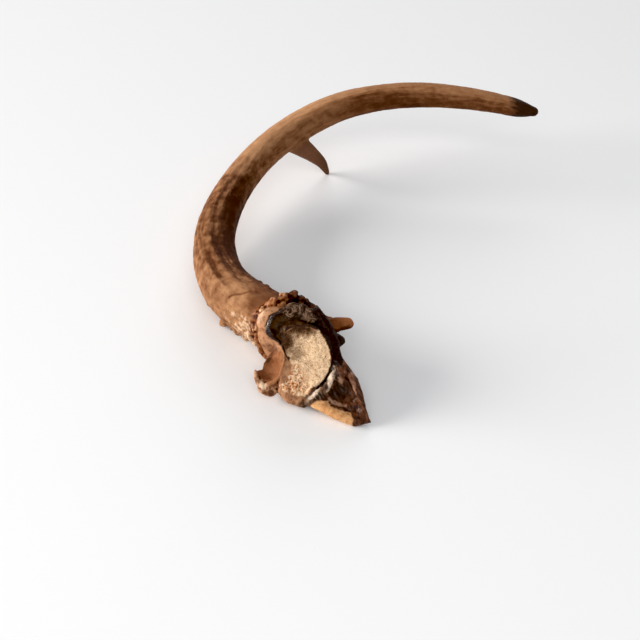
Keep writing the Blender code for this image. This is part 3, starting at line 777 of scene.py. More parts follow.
# %% The material class
class Finish:
    """One material: its nodes, and the wires between them."""

    def __init__(self, name):
        self.material = bpy.data.materials.new(name)
        self.material.use_nodes = True
        self.tree = self.material.node_tree
        self.surface = self.tree.nodes["Principled BSDF"]

    def node(self, kind, settings, inputs, output=0):
        """Adds a node of this kind: its settings first, then its inputs as values or wires."""
        made = self.tree.nodes.new(kind)
        for name, value in settings.items():
            setattr(made, name, value)
        self.feed(made, inputs)
        return Wire(self, made.outputs[output])

    def feed(self, made, inputs):
        """Sets a node's inputs, by name or number, to values or wires."""
        for name, value in inputs.items():
            if isinstance(value, Wire):
                self.tree.links.new(value.socket, made.inputs[name])
            elif isinstance(value, tuple) and len(value) == 3 and made.inputs[name].type == "RGBA":
                made.inputs[name].default_value = (*value, 1.0)
            else:
                made.inputs[name].default_value = value

    def number(self, name):
        """A number stored on the mesh."""
        return self.node("ShaderNodeAttribute", {"attribute_name": name}, {}, "Fac")

    def vector(self, name):
        """A vector stored on the mesh."""
        return self.node("ShaderNodeAttribute", {"attribute_name": name}, {}, "Vector")

    def place(self):
        """The point's own place on the object, in metres."""
        return self.node("ShaderNodeTexCoord", {}, {}, "Object")

    def scaled(self, vector, factors):
        """A vector with each of its parts multiplied."""
        return self.node("ShaderNodeVectorMath", {"operation": "MULTIPLY"},
                         {0: vector, 1: factors})

    def noise(self, vector, scale, detail=3.0, roughness=0.55, distortion=0.0):
        """Cloudy noise from 0 to 1, with this many swells in each unit of the vector."""
        return self.node("ShaderNodeTexNoise", {}, {
            "Vector": vector, "Scale": scale, "Detail": detail, "Roughness": roughness,
            "Distortion": distortion})

    def cells(self, vector, scale):
        """Distance to the nearest of many scattered points, in cells."""
        return self.node("ShaderNodeTexVoronoi", {}, {"Vector": vector, "Scale": scale},
                         "Distance")

    def bump(self, height, distance, strength):
        """A normal that leans with the height, where 1 stands for the distance in metres."""
        return self.node("ShaderNodeBump", {},
                         {"Height": height, "Distance": distance, "Strength": strength})

    def dress(self, obj, **inputs):
        """Feeds the surface, where Base_Color stands for Base Color, and puts it on a piece."""
        self.feed(self.surface, {name.replace("_", " "): value for name, value in inputs.items()})
        obj.data.materials.clear()
        obj.data.materials.append(self.material)
        print(obj.name, "is dressed by a material of", len(self.tree.nodes), "nodes")


print("a new material starts with", len(Finish("trial").tree.nodes), "nodes")
bpy.data.materials.remove(bpy.data.materials["trial"])

# %% [markdown]
# ## Colours
# Colours are written as they look on a screen, and turned into the light that they stand
# for, which is what a material takes. One colour is laid over another by a share between 0
# and 1, and the colours of every finish below are built up from that one step.

# %% Mixing colours
def mix(share, first, second):
    """The first colour where the share is 0, the second where it is 1."""
    return share.finish.node("ShaderNodeMix", {"data_type": "RGBA"},
                             {0: share, 6: first, 7: second}, 2)


def layered(base, *layers):
    """Lays colours over a base in turn, each as (share, colour)."""
    for share, colour in layers:
        base = mix(share, base, colour)
    return base


def srgb(*parts):
    """A colour as seen on a screen, 0 to 255, turned into the light that it stands for."""
    values = np.array(parts) / 255.0
    light = np.where(values <= 0.04045, values / 12.92, ((values + 0.055) / 1.055) ** 2.4)
    return tuple(float(part) for part in light)


print("middle grey on a screen is %.2f of white's light" % srgb(128)[0])

# %% [markdown]
# ## Signals for the antler's colours
# Weathered antler changes colour in long streaks, so most of its noise is read in the limb's
# own coordinates, squeezed along the limb. Streak, patch and mottle are the same noise at
# three sizes: real weathering has all of them, and a single size looks like a print.

# %% Signals that the antler's colours share
GRAIN_DEPTH = 0.0003                 # metres that the materials' finest bump stands for
GRAIN_STRENGTH = 0.8

antler_look = Finish("antler_finish")
unrolled = antler_look.vector("unrolled")
streak = antler_look.noise(antler_look.scaled(unrolled, (1.0, 1.0, 0.25)), 0.5, 4.0, 0.62)
fine = antler_look.noise(antler_look.scaled(unrolled, (1.0, 1.0, 0.3)), 2.4, 3.0, 0.6)
patch = antler_look.noise(antler_look.scaled(unrolled, (1.0, 1.0, 0.4)), 0.1, 3.0, 0.6)
mottle = antler_look.noise(antler_look.place(), 150.0, 3.0, 0.5)
blotch = antler_look.noise(antler_look.place(), 240.0, 3.0, 0.6, 0.5)
grit = antler_look.noise(antler_look.place(), 900.0, 3.0, 0.6)
small, large, along, pearly, topmost, on_burr, crown_dark = (
    antler_look.number(name) for name in
    ("relief_small", "relief_large", "along", "pearly", "topmost", "on_burr", "crown_dark"))
inward = antler_look.number("inward") - along.step(150.0, 230.0) * 0.3
inward = inward + (along.step(235.0, 275.0) - along.step(320.0, 360.0)) * 0.36
print("the antler's signals take", len(antler_look.tree.nodes), "nodes")

# %% [markdown]
# ## The colour of the beam
# The beam is brown from dried blood and bark juice. Its ridges are rubbed to a warm tan and
# are paler also as painted light, its hollows are darker as painted shade, and the side that
# faces into the crook is a darker stain with painted shade on it. One level says how light a
# place is, and three browns are laid along it, so that every cause shows in the same scale of
# colour. Near the burr, cream pearls and pits darkened by dirt and painted shade come on top.

# %% Beam
level = (large * 0.3 + small * 0.45 + (streak - 0.5) * 0.55 + (patch - 0.5) * 0.8
         + (mottle - 0.5) * (1.5 - along.step(150.0, 250.0) * 0.9)
         + antler_look.number("paleness") * 1.1 + 0.12)
# The side facing the crook is darker: a stain with painted shade on it.
level = level - inward.step(-0.15, 0.75) * 0.57
level = level - topmost * (along.step(45.0, 90.0) - along.step(170.0, 215.0)) * 0.24
level = level - antler_look.number("vein_furrow") * 0.2 + antler_look.number("vein") * 0.02
level = level - antler_look.number("crack") * 0.26
tan = mix(patch.step(0.35, 0.65), srgb(180, 132, 93), srgb(156, 110, 76))
brown = mix(patch.step(0.3, 0.7), srgb(126, 80, 50), srgb(100, 59, 32))
cream = (pearly * 1.1 + small * 0.9 + large * 0.5 - topmost * 1.2 + (blotch - 0.5) * 2.2
         + (grit - 0.5) * 0.8 - 0.52)
pit = pearly * 0.5 - small - large * 0.5 + (blotch - 0.5) * 0.8 - 0.3
shade = pearly * 1.5 + inward * 0.5 + (streak - 0.5) + (patch - 0.5) - 0.7
beam_colour = layered(
    mix(level.step(-0.25, 0.55), srgb(66, 31, 13), brown),
    (level.step(0.15, 1.0), tan),
    (level.step(0.85, 1.5) * 0.6, srgb(206, 158, 116)),
    (cream.step(0.0, 1.0) * 0.85, srgb(240, 204, 168)),
    (pit.step(0.0, 0.5) * 0.7, srgb(126, 76, 46)),
    (shade.step(0.0, 0.6) * topmost * 0.7, srgb(88, 46, 22)))
print("with the beam:", len(antler_look.tree.nodes), "nodes")

# %% [markdown]
# ## Burr, tines and tip
# The burr's beads are tan with painted highlights on their tops and painted shade between
# them, and its crown is darker on its top and right, a dark stain with painted shade on it.
# The brow tine is brown, paler towards its tip, which is partly a painted highlight, with
# painted shade on its underside, the fork tine is greyer, and the beam's tip was rubbed dark
# on trees. Each is a colour of its own, mixed in by its region.

# %% Burr, tines and tip
ridges = small * 0.7 + large * 0.5 + (grit - 0.5) * 0.4 + (blotch - 0.5) * 0.9
shadowed = mix((ridges - 0.05).step(0.0, 0.6), srgb(34, 13, 6), srgb(96, 50, 26))
crown = layered(
    mix((ridges + 0.18).step(0.0, 0.36), srgb(66, 26, 10), srgb(160, 96, 54)),
    ((ridges - 0.22).step(0.0, 0.5), srgb(226, 180, 134)),
    (crown_dark * 0.95, shadowed))
brow_end = antler_look.number("brow_at") + (blotch - 0.5) * 18.0
facing_up = antler_look.number("faces_up") + (blotch - 0.5) * 0.8
brow = layered(
    mix((blotch * 0.5 + fine * 0.5).step(0.3, 0.7), srgb(84, 42, 20), srgb(132, 78, 45)),
    (brow_end.step(12.0, 32.0) * 0.8, srgb(172, 110, 70)),
    (facing_up.step(0.5, -0.1) * 0.85, srgb(62, 28, 13)))
grey = layered(
    mix(fine.step(0.3, 0.7), srgb(96, 62, 46), srgb(132, 92, 70)),
    (antler_look.number("tine_at").step(26.0, 44.0) * 0.6, srgb(56, 32, 22)))
tip = (along + (streak - 0.5) * 14.0 - inward * 4.0).step(424.0, 432.0)
antler_colour = layered(
    beam_colour, (on_burr, crown), (antler_look.number("on_brow"), brow),
    (antler_look.number("on_tine") * 0.85, grey), (tip * 0.92, srgb(44, 26, 18)))
print("with burr, tines and tip:", len(antler_look.tree.nodes), "nodes")

# %% [markdown]
# ## How the antler takes the light
# Dry antler is nearly matt, and only the greasy beads of the burr shine a little. So the
# roughness is high and varies with the grain, and a thin coat lies on the burr's raised
# beads. The finest grain is a bump of a few tenths of a millimetre.

# %% Dress the antler
greasy = on_burr * (1.0 - crown_dark * 0.6)
grain = (fine - 0.5) * 0.5 + (streak - 0.5) * 0.5 + (grit - 0.5) * 0.3
antler_look.dress(
    antler, Base_Color=antler_colour,
    Roughness=0.66 + (fine - 0.5) * 0.2 - tip * 0.08 - greasy * 0.3,
    Coat_Weight=greasy * (ridges + 0.1).step(0.0, 0.4) * 0.3, Coat_Roughness=0.25,
    Normal=antler_look.bump(grain, GRAIN_DEPTH, GRAIN_STRENGTH), Metallic=0.0,
    Specular_IOR_Level=0.05)

# %% [markdown]
# ## The skull as a block of clay
# The broken skull has no centre line and no even thickness: it is lumps, thin walls, a flat
# break and scooped hollows. So it is modelled like clay. A block is a grid of points, and
# each holds its distance to the nearest surface, negative inside. Forms are added, blended
# and carved by comparing distances, and the skin is laid where the distance is zero.
#
# Its forms are placed as the break faces the viewer: u runs to the right, v up along the
# view and w towards the eye, which looks down at 40 degrees.

# %% The block
LOOK_DOWN = np.radians(40.0)
SIN, COS = np.sin(LOOK_DOWN), np.cos(LOOK_DOWN)
VIEW = np.array(((1.0, 0.0, 0.0), (0.0, SIN, COS), (0.0, -COS, SIN)))
CLAY_STEP = 0.45                     # mm between the grid's points
EMPTY = 6.0                          # mm: the distance that an empty block holds everywhere
CLAY_LOW = np.array((-45.0, -72.0, 28.0))
CLAY_HIGH = np.array((34.0, 14.0, 86.0))


class Clay:
    """Distances on a grid of points. Each form changes only the part of the grid near it."""

    def __init__(self, low, high, step):
        self.low = low
        self.step = step
        self.axes = [np.arange(a, b, step, dtype=np.float32) for a, b in zip(low, high)]
        self.distance = np.full([len(axis) for axis in self.axes], EMPTY, np.float32)

    def near(self, balls, margin):
        """The part of the grid within a margin of some balls, and its coordinates."""
        balls = np.asarray(balls, float)
        low = (balls[:, :3] - balls[:, 3:]).min(axis=0) - margin
        high = (balls[:, :3] + balls[:, 3:]).max(axis=0) + margin
        part = tuple(slice(max(0, int((a - c) / self.step)), max(0, int((b - c) / self.step) + 2))
                     for a, b, c in zip(low, high, self.low))
        u, v, w = (axis[cut] for axis, cut in zip(self.axes, part))
        return part, u[:, None, None], v[None, :, None], w[None, None, :]

    def add(self, part, form, blend):
        """Joins a form on, with a fillet about as wide as the blend."""
        old = self.distance[part]
        share = np.clip(0.5 + 0.5 * (old - form) / blend, 0.0, 1.0)
        self.distance[part] = old + (form - old) * share - blend * share * (1 - share)

    def carve(self, part, form, blend):
        """Takes a form away, with an edge rounded by the blend."""
        old = self.distance[part]
        share = np.clip(0.5 - 0.5 * (old + form) / blend, 0.0, 1.0)
        self.distance[part] = old + (-form - old) * share + blend * share * (1 - share)


clay = Clay(CLAY_LOW, CLAY_HIGH, CLAY_STEP)
print("the block has", clay.distance.size, "points,", CLAY_STEP, "mm apart")

# %% [markdown]
# ## Three kinds of form
# A limb runs from ball to ball and suits ridges and grooves. A skin stretched over balls
# suits plates and wedges, and a squashed ball suits hollows. Each is a formula for the
# distance from any point, so a form of a few numbers is as smooth as the grid allows.

# %% Distances to the forms
def chain_field(balls, u, v, w):
    """Distance to a limb that runs from ball to ball: to each stretch's nearest point, less
    the radius there."""
    best = np.float32(FAR_OFF)
    for a, b in zip(balls, balls[1:]):
        way = np.array(b[:3]) - a[:3]
        share = ((u - a[0]) * way[0] + (v - a[1]) * way[1] + (w - a[2]) * way[2]) / (way @ way)
        share = np.clip(share, 0.0, 1.0)
        apart = np.sqrt((u - a[0] - way[0] * share) ** 2 + (v - a[1] - way[1] * share) ** 2
                        + (w - a[2] - way[2] * share) ** 2)
        best = np.minimum(best, apart - (a[3] + (b[3] - a[3]) * share))
    return best.astype(np.float32)


def hull_planes(balls):
    """The flat sides of the skin stretched over some balls: normals and offsets."""
    skin = bmesh.new()
    for x, y, z, radius in balls:
        place = Matrix.Translation((x, y, z))
        bmesh.ops.create_icosphere(skin, subdivisions=2, radius=radius, matrix=place)
    bmesh.ops.delete(skin, geom=skin.edges, context="EDGES_FACES")
    bmesh.ops.convex_hull(skin, input=skin.verts)
    planes = np.array([(*face.normal, face.normal.dot(face.verts[0].co)) for face in skin.faces])
    skin.free()
    middle = np.mean([ball[:3] for ball in balls], axis=0)
    flip = np.sign(planes[:, 3] - planes[:, :3] @ middle)
    return np.unique(np.round(planes * flip[:, None], 3), axis=0)


def hull_field(balls, u, v, w):
    """Distance to the skin stretched over some balls: the farthest of its flat sides."""
    best = np.full(np.broadcast_shapes(u.shape, v.shape, w.shape), -FAR_OFF, np.float32)
    for x, y, z, offset in hull_planes(balls).astype(np.float32):
        np.maximum(best, u * x + v * y + (w * z - offset), out=best)
    return best


def ball_field(middle, sizes, u, v, w):
    """Rough distance to a ball squashed to three sizes: (|p / size| - 1) times the least."""
    sizes = np.array(sizes, np.float32)
    apart = np.sqrt(((u - middle[0]) / sizes[0]) ** 2 + ((v - middle[1]) / sizes[1]) ** 2
                    + ((w - middle[2]) / sizes[2]) ** 2)
    return (apart - 1) * sizes.min()


trial_balls = ((0.0, 0.0, 0.0, 2.0), (10.0, 0.0, 0.0, 1.0))
print("a point 5 mm above the middle of a limb is %.1f mm from its skin" % chain_field(
    trial_balls, np.array((5.0,)), np.array((5.0,)), np.array((0.0,)))[0])

# %% [markdown]
# ## Stump, bone and break
# The pedicle is the stump that carries the antler. It widens into the forehead bone, which
# broke off across a plane that faces the viewer. The bone is a skin stretched over balls,
# and the plane cuts it off.

# %% Stump and forehead bone
# Balls as u, v, w and radius in mm. NAPE is the bone behind the break that carries the tissue,
# and FLARE is the left side of the stump, which widens towards the burr.
PEDICLE = ((-23.5, -1.7, 38.9, 18.3), (-19.0, -7.5, 52.0, 17.0), (-17.0, -9.9, 57.5, 15.5))
FOREHEAD = ((-20.5, -5.0, 74.0, 1.6), (-15.5, -3.0, 75.0, 1.6), (-4.0, -5.0, 76.5, 1.6),
            (2.0, -12.0, 76.5, 1.6), (5.2, -20.0, 76.5, 1.6), (5.9, -28.0, 76.0, 1.6),
            (4.0, -34.0, 75.6, 1.6), (-2.0, -42.0, 74.4, 1.6), (-9.5, -50.0, 73.2, 1.6),
            (-14.5, -50.4, 72.6, 1.8), (-19.5, -45.9, 72.0, 1.8), (-24.0, -42.4, 70.6, 1.6),
            (-22.0, -14.0, 73.2, 1.6),
            (-18.0, -13.0, 57.0, 13.5), (-9.0, -16.0, 59.0, 13.5), (2.0, -14.0, 62.0, 9.0),
            (-12.0, -34.0, 60.0, 6.0), (-17.0, -27.0, 52.0, 6.0))
NAPE = ((-21.0, 4.5, 55.5, 5.0), (-14.5, 5.0, 57.5, 5.5), (-8.0, 1.5, 60.0, 5.5))
FLARE = ((-30.0, -1.5, 56.0, 10.8), (-28.0, -8.0, 50.0, 13.4), (-24.5, -14.0, 45.0, 14.3))
BREAK_AT = np.array((-10.0, -51.8, 72.7))
BREAK_FACES = unit(np.array((-0.10, -0.062, 0.992)))
ADD_MARGIN, CARVE_MARGIN = 5.0, 3.0  # mm of the grid round a form that it may change


def break_depth(u, v, w):
    """How far a point lies in front of the break's plane."""
    n = BREAK_FACES
    return (u - BREAK_AT[0]) * n[0] + (v - BREAK_AT[1]) * n[1] + (w - BREAK_AT[2]) * n[2]


def add_limb(balls, blend):
    """Adds a limb that runs from ball to ball."""
    part, u, v, w = clay.near(balls, ADD_MARGIN)
    clay.add(part, chain_field(balls, u, v, w), blend)


def add_hull(balls, blend):
    """Adds a solid whose skin is stretched over some balls."""
    part, u, v, w = clay.near(balls, ADD_MARGIN)
    clay.add(part, hull_field(balls, u, v, w), blend)


def carve_limb(balls, blend):
    """Carves a groove that runs from ball to ball."""
    part, u, v, w = clay.near(balls, CARVE_MARGIN)
    clay.carve(part, chain_field(balls, u, v, w), blend)


def carve_hollow(middle, sizes, blend):
    """Carves a hollow like a squashed ball."""
    part, u, v, w = clay.near([(*middle, max(sizes))], CARVE_MARGIN)
    clay.carve(part, ball_field(middle, sizes, u, v, w), blend)


def clay_volume():
    """Volume of the clay in cm3."""
    return round(float((clay.distance < 0).sum()) * CLAY_STEP ** 3 / 1000, 1)


add_limb(PEDICLE, 2.0)
add_limb(FLARE, 3.0)
add_limb(NAPE, 3.0)
part, u, v, w = clay.near(FOREHEAD, ADD_MARGIN)
clay.add(part, np.maximum(hull_field(FOREHEAD, u, v, w), break_depth(u, v, w)), 3.0)
print("clay so far:", clay_volume(), "cm3")

# %% [markdown]
# ## The eye socket's rim
# At the lower left a thin ridge comes down from the stump and hooks round to the left. It is
# what is left of the eye socket, and behind it the bone is scooped out like a spoon. The
# ridge is a limb of small balls, and the spoon is a thin wall between two curved skins.

# %% Ridge, spoon and hook
RIDGE = ((-24.2, -15.9, 73.6, 0.4), (-22.9, -20.4, 73.8, 0.4), (-22.6, -24.2, 73.9, 0.4),
         (-23.6, -29.3, 73.3, 0.5), (-25.5, -35.1, 71.6, 0.8), (-28.8, -39.1, 69.0, 1.3),
         (-33.3, -41.6, 66.8, 1.9))
HOOK = ((-27.6, -42.4, 65.6, 2.8), (-32.0, -45.2, 65.2, 4.1), (-36.2, -44.2, 65.2, 3.6),
        (-39.2, -40.8, 65.2, 2.2), (-40.6, -36.6, 65.4, 1.4), (-41.2, -32.9, 65.4, 1.0))
SPOON = ((-40.8, -32.4, 64.8, 1.2), (-40.4, -38.5, 64.0, 1.7), (-31.0, -41.0, 62.6, 2.4),
         (-26.5, -36.5, 62.0, 4.0), (-24.5, -24.0, 60.0, 7.0), (-30.5, -27.0, 57.5, 3.2),
         (-34.0, -31.4, 63.0, 1.5))
SPOON_HOLLOW = ((-34.6, -30.6, 71.5), (9.2, 9.4, 12.0))
WALL = ((-22.0, -17.0, 68.0, 3.0), (-22.5, -30.0, 67.0, 3.5), (-22.5, -39.0, 66.0, 4.5),
        (-17.0, -22.0, 64.0, 7.0), (-17.0, -37.0, 65.0, 6.0), (-27.0, -40.5, 63.5, 3.0))

add_hull(SPOON, 2.0)
add_hull(WALL, 2.0)
carve_hollow(*SPOON_HOLLOW, 0.8)
add_limb(RIDGE, 1.0)
add_limb(HOOK, 1.2)
print("clay so far:", clay_volume(), "cm3")

# %% [markdown]
# ## The underside and the wedge
# Below the break the bone rounds under to the floor. To the right a wedge of the skull's
# other plate runs down to a jagged point, hollow on its face and smooth along its lower
# edge. Between break and wedge stands a lip of splintered bone.

# %% Underside, wedge and lip
UNDERSIDE = ((-22.6, -45.4, 67.5, 4.4), (-18.4, -49.4, 69.4, 4.7), (-11.5, -51.4, 71.0, 4.4),
             (-13.0, -37.3, 60.1, 6.0), (-20.0, -30.1, 53.0, 6.0))
CLEFT = ((-28.2, -43.2, 74.0, 1.1), (-27.6, -44.2, 67.6, 0.8))
WEDGE = ((3.5, -20.2, 65.3, 7.0), (14.6, -31.5, 72.1, 3.2), (21.0, -37.6, 74.8, 2.8),
         (24.4, -45.0, 77.0, 2.4), (27.0, -56.0, 79.4, 2.2), (29.4, -63.6, 79.8, 1.8),
         (22.0, -65.4, 80.2, 2.0), (10.0, -60.8, 79.0, 2.2), (-2.0, -54.2, 76.0, 2.4),
         (-6.0, -51.0, 72.8, 4.0), (-3.0, -32.7, 63.9, 8.0), (24.0, -60.0, 77.0, 2.0))
STRIP = ((-3.4, -53.8, 76.6, 1.7), (5.4, -57.0, 79.2, 2.5), (13.0, -60.4, 80.6, 2.8),
         (20.0, -62.8, 81.2, 2.6), (25.0, -64.0, 80.9, 2.2))
CREST = ((12.8, -28.8, 73.2, 2.0), (17.6, -33.4, 75.0, 2.0), (21.6, -39.2, 76.8, 1.9),
         (24.4, -46.0, 78.4, 1.7), (26.6, -54.0, 79.8, 1.6), (28.4, -60.0, 80.4, 1.5),
         (30.4, -63.4, 80.4, 1.1), (31.8, -64.4, 80.2, 0.6))
WEDGE_HOLLOWS = (((14.2, -44.0, 84.0), (11.6, 12.5, 12.0)), ((8.5, -48.0, 80.5), (6.5, 6.5, 6.6)),
                 ((20.6, -53.0, 85.5), (7.0, 8.5, 8.0)))
BRAIN_HOLLOW = ((22.0, -44.4, 43.6), (25.0, 25.0, 25.0))
LIP = (((8.6, -29.6, 75.6, 0.5), (7.8, -33.6, 76.6, 1.1), (7.2, -37.2, 77.2, 1.6),
        (6.2, -41.0, 77.0, 1.2), (4.8, -44.8, 76.4, 0.5)),
       ((0.2, -43.4, 75.8, 0.3), (-2.6, -46.4, 76.4, 0.8), (-5.4, -49.4, 75.8, 0.9),
        (-9.0, -53.0, 74.4, 0.4)))
LIP_ROOT = ((7.6, -31.5, 74.6, 1.6), (6.4, -37.0, 75.8, 2.1), (4.2, -42.4, 75.9, 2.3),
            (-0.6, -46.6, 75.3, 2.0), (-6.6, -51.2, 74.2, 1.8), (-10.6, -54.4, 73.2, 1.6))
GROOVE = ((8.2, -27.4, 76.4, 0.9), (6.4, -33.2, 76.0, 1.0), (3.4, -38.8, 75.4, 1.0),
          (-0.8, -42.8, 74.8, 0.9), (-5.2, -46.8, 74.2, 0.9), (-9.8, -50.8, 73.5, 0.8))

add_hull(UNDERSIDE, 2.5)
add_hull(WEDGE, 2.0)
for middle, sizes in WEDGE_HOLLOWS:
    carve_hollow(middle, sizes, 1.5)
carve_hollow(*BRAIN_HOLLOW, 2.0)
carve_limb(CLEFT, 0.6)
add_limb(LIP_ROOT, 1.2)
for stretch in (STRIP, CREST, *LIP):
    add_limb(stretch, 1.0)
carve_limb(GROOVE, 0.5)
print("clay so far:", clay_volume(), "cm3")

# %% [markdown]
# ## Dried tissue
# Skin and flesh dried on the bone. At the top they are a crumpled cushion of folds, at the
# upper left a deep pocket with a thin rolled rim, and down the right side a dark smooth band
# that runs on into the wedge. The forms are added and carved in the order in which they lie
# on each other, so that a later one may cover the edge of an earlier one.

# %% Pocket, cushion and band
DISH = ((-12.0, -19.0, 90.5), (15.0, 15.0, 17.6))    # a shallow dip in the break
CUP = ((-26.2, 4.2, 69.2, 1.5), (-21.0, 6.2, 68.8, 1.6), (-30.6, 1.4, 68.9, 1.5),
       (-32.4, -4.6, 68.4, 1.7), (-30.2, -9.8, 68.8, 1.8), (-25.0, -13.0, 69.8, 2.2),
       (-19.0, -6.0, 71.0, 2.6), (-22.0, -4.0, 58.0, 10.0), (-22.0, 6.0, 63.0, 3.0))
POCKET = ((-24.0, -13.4, 73.2, 1.6), (-26.4, -9.0, 72.0, 3.4), (-27.8, -4.0, 71.6, 4.3),
          (-25.2, 0.4, 71.6, 3.9), (-19.7, -0.9, 72.0, 3.1), (-13.4, -1.7, 72.8, 2.4),
          (-8.4, -2.2, 74.0, 1.5))
CUSHION = ((-21.6, 6.4, 66.2, 2.6), (-17.6, 8.6, 65.4, 2.8), (-11.0, 7.6, 66.8, 2.8),
           (-6.2, 4.4, 68.6, 2.6), (-4.4, 0.2, 70.8, 2.3), (-10.0, 1.8, 71.0, 2.2),
           (-17.6, 2.8, 70.2, 2.3), (-14.0, 4.0, 60.0, 6.0))
BAND = ((-2.6, 4.0, 67.0, 4.0), (1.9, -2.0, 66.6, 4.4), (5.1, -8.6, 66.8, 4.6),
        (8.2, -16.1, 67.0, 4.5), (9.2, -23.1, 69.4, 3.9), (11.4, -28.8, 72.2, 2.8))
BULGE = ((8.6, -11.6, 64.0, 4.0), (12.4, -13.4, 62.4, 3.7))
RIM = ((-26.2, 5.1, 70.2, 0.5), (-30.1, 2.6, 69.9, 0.6), (-32.6, -1.3, 69.5, 0.7),
       (-33.8, -5.1, 69.2, 0.9), (-33.4, -8.3, 69.2, 1.1), (-30.9, -10.9, 70.0, 0.9),
       (-26.9, -13.4, 71.8, 0.7), (-24.9, -16.0, 72.9, 0.4))

add_hull(CUP, 1.5)
carve_limb(POCKET, 0.8)
carve_hollow(*DISH, 2.0)
add_limb(BAND, 2.0)
add_limb(BULGE, 1.5)
add_hull(CUSHION, 1.2)
add_limb(RIM, 0.6)
print("clay so far:", clay_volume(), "cm3")

# %% [markdown]
# ## Which finish lies where
# The skull shows about a dozen finishes side by side. Each has its region: an outline drawn
# on the face of the break as the viewer sees it, or all that lies near one of the limbs. The
# regions serve twice, first to roughen the clay and then to colour it. Noise moves each place a
# little before it is tested, so that the regions' borders are ragged.

# %% Regions of the skull
# Outlines as u and v in mm.
BREAK_OUTLINE = ((-20.9, -7.0), (-15.9, -4.4), (-10.8, -4.4), (-5.7, -5.1), (-1.3, -7.0),
                 (3.2, -12.7), (5.7, -19.0), (7.3, -27.3), (5.7, -32.4), (2.9, -37.8),
                 (-1.0, -41.5), (-4.9, -45.4), (-8.7, -48.6), (-11.4, -51.8), (-14.6, -51.8),
                 (-17.0, -49.6), (-18.6, -46.6), (-23.5, -44.5), (-26.0, -41.3), (-22.2, -40.0),
                 (-19.1, -33.7), (-17.8, -28.6), (-19.1, -24.8), (-21.6, -21.0), (-22.9, -16.5),
                 (-24.1, -13.3), (-23.6, -9.5))
STRIP_OUTLINE = ((-5.4, -53.6), (-2.0, -51.0), (4.4, -51.4), (8.4, -55.6), (14.0, -57.2),
                 (19.2, -58.8), (20.6, -63.0), (20.4, -69.0), (9.0, -68.0), (-9.0, -58.0))
SPOON_OUTLINE = ((-46.0, -28.0), (-33.0, -28.5), (-29.0, -20.0), (-24.0, -20.0), (-23.6, -29.0),
                 (-25.8, -35.5), (-29.4, -39.6), (-34.0, -40.6), (-39.5, -39.4), (-46.0, -38.0))
# The dark tissue round the break, with painted shade under the cushion and down the right side.
SHADED_TISSUE_OUTLINE = ((-34.8, -3.0), (-33.2, 2.8), (-26.7, 6.2), (-24.0, 12.0), (-10.0, 14.0),
                (0.0, 8.0), (6.0, 2.0), (10.0, -4.0), (18.0, -9.0), (18.0, -18.0), (16.0, -24.0),
                (14.0, -29.0), (9.0, -31.0), (7.6, -27.0), (5.9, -19.0), (3.4, -12.5),
                (-1.0, -6.8), (-5.7, -4.8), (-15.9, -4.1), (-20.9, -6.8), (-23.4, -9.5),
                (-24.0, -13.3), (-22.8, -16.5), (-21.4, -21.0), (-18.8, -25.2), (-19.6, -26.4),
                (-22.6, -21.4), (-24.9, -16.6), (-27.5, -13.8), (-31.5, -12.0), (-34.6, -9.0))
CUSHION_OUTLINE = ((-23.6, 8.9), (-20.4, 11.5), (-15.3, 11.5), (-10.2, 9.8), (-5.1, 6.2),
                   (-2.2, 0.6), (-4.6, -3.0), (-9.6, -0.6), (-15.3, 0.6), (-20.4, 0.6),
                   (-23.4, 3.0))
WHORLS = ((-18.6, 5.6), (-2.0, 14.0))               # the middles that the folds run round
# Raised fibres in the wedge, as balls in mm.
STREAKS = (((20.0, -34.6, 76.0, 0.6), (21.4, -40.6, 77.0, 0.9), (23.0, -46.2, 78.0, 0.5)),
           ((9.0, -28.6, 74.4, 0.5), (12.0, -35.4, 74.0, 0.8), (14.0, -42.4, 74.0, 0.4)),
           ((6.0, -50.4, 75.0, 0.4), (10.4, -53.4, 76.0, 0.8), (19.6, -57.4, 77.6, 0.5)))
# Painted shade in the wedge's deepest hollow.
WEDGE_SHADE_AT = (12.0, -44.6, 72.6)                 # the darkest place in the wedge
WEDGE_WAY = np.array((0.45, -0.89, 0.0))            # the way that the wedge's fibres run

print("outlines of", [len(outline) for outline in (
    BREAK_OUTLINE, STRIP_OUTLINE, SPOON_OUTLINE, SHADED_TISSUE_OUTLINE, CUSHION_OUTLINE)], "points")

# %% [markdown]
# ## Inside, near or beyond
# Each region gives every place a number from 0 to 1. For an outline it comes from the
# distance to its nearest side, and for a limb from the distance to its skin. The border is a
# smooth step and not a jump, so that relief and colour fade into each other.

# %% Numbers of each place
def outline_share(u, v, outline, soft):
    """1 inside an outline and 0 outside, over a border 2 * soft wide: the distance to the
    nearest side, signed by how often a level line from the point crosses the outline."""
    knots = np.array(outline, float)
    best = np.full(len(u), FAR_OFF)
    inside = np.zeros(len(u), bool)
    for (u0, v0), (u1, v1) in zip(knots, np.roll(knots, -1, axis=0)):
        share = np.clip(((u - u0) * (u1 - u0) + (v - v0) * (v1 - v0))
                        / ((u1 - u0) ** 2 + (v1 - v0) ** 2), 0, 1)
        best = np.minimum(best, np.hypot(u - u0 - share * (u1 - u0), v - v0 - share * (v1 - v0)))
        crosses = (v0 > v) != (v1 > v)
        inside ^= crosses & (u < u0 + (v - v0) * (u1 - u0) / (v1 - v0 + 1e-9))
    return smooth_step(np.where(inside, best, -best), -soft, soft)


def near_limb(places, balls, low, high):
    """1 nearer than low mm to a limb's skin, 0 farther than high."""
    return 1 - smooth_step(chain_field(balls, *places.T), low, high)


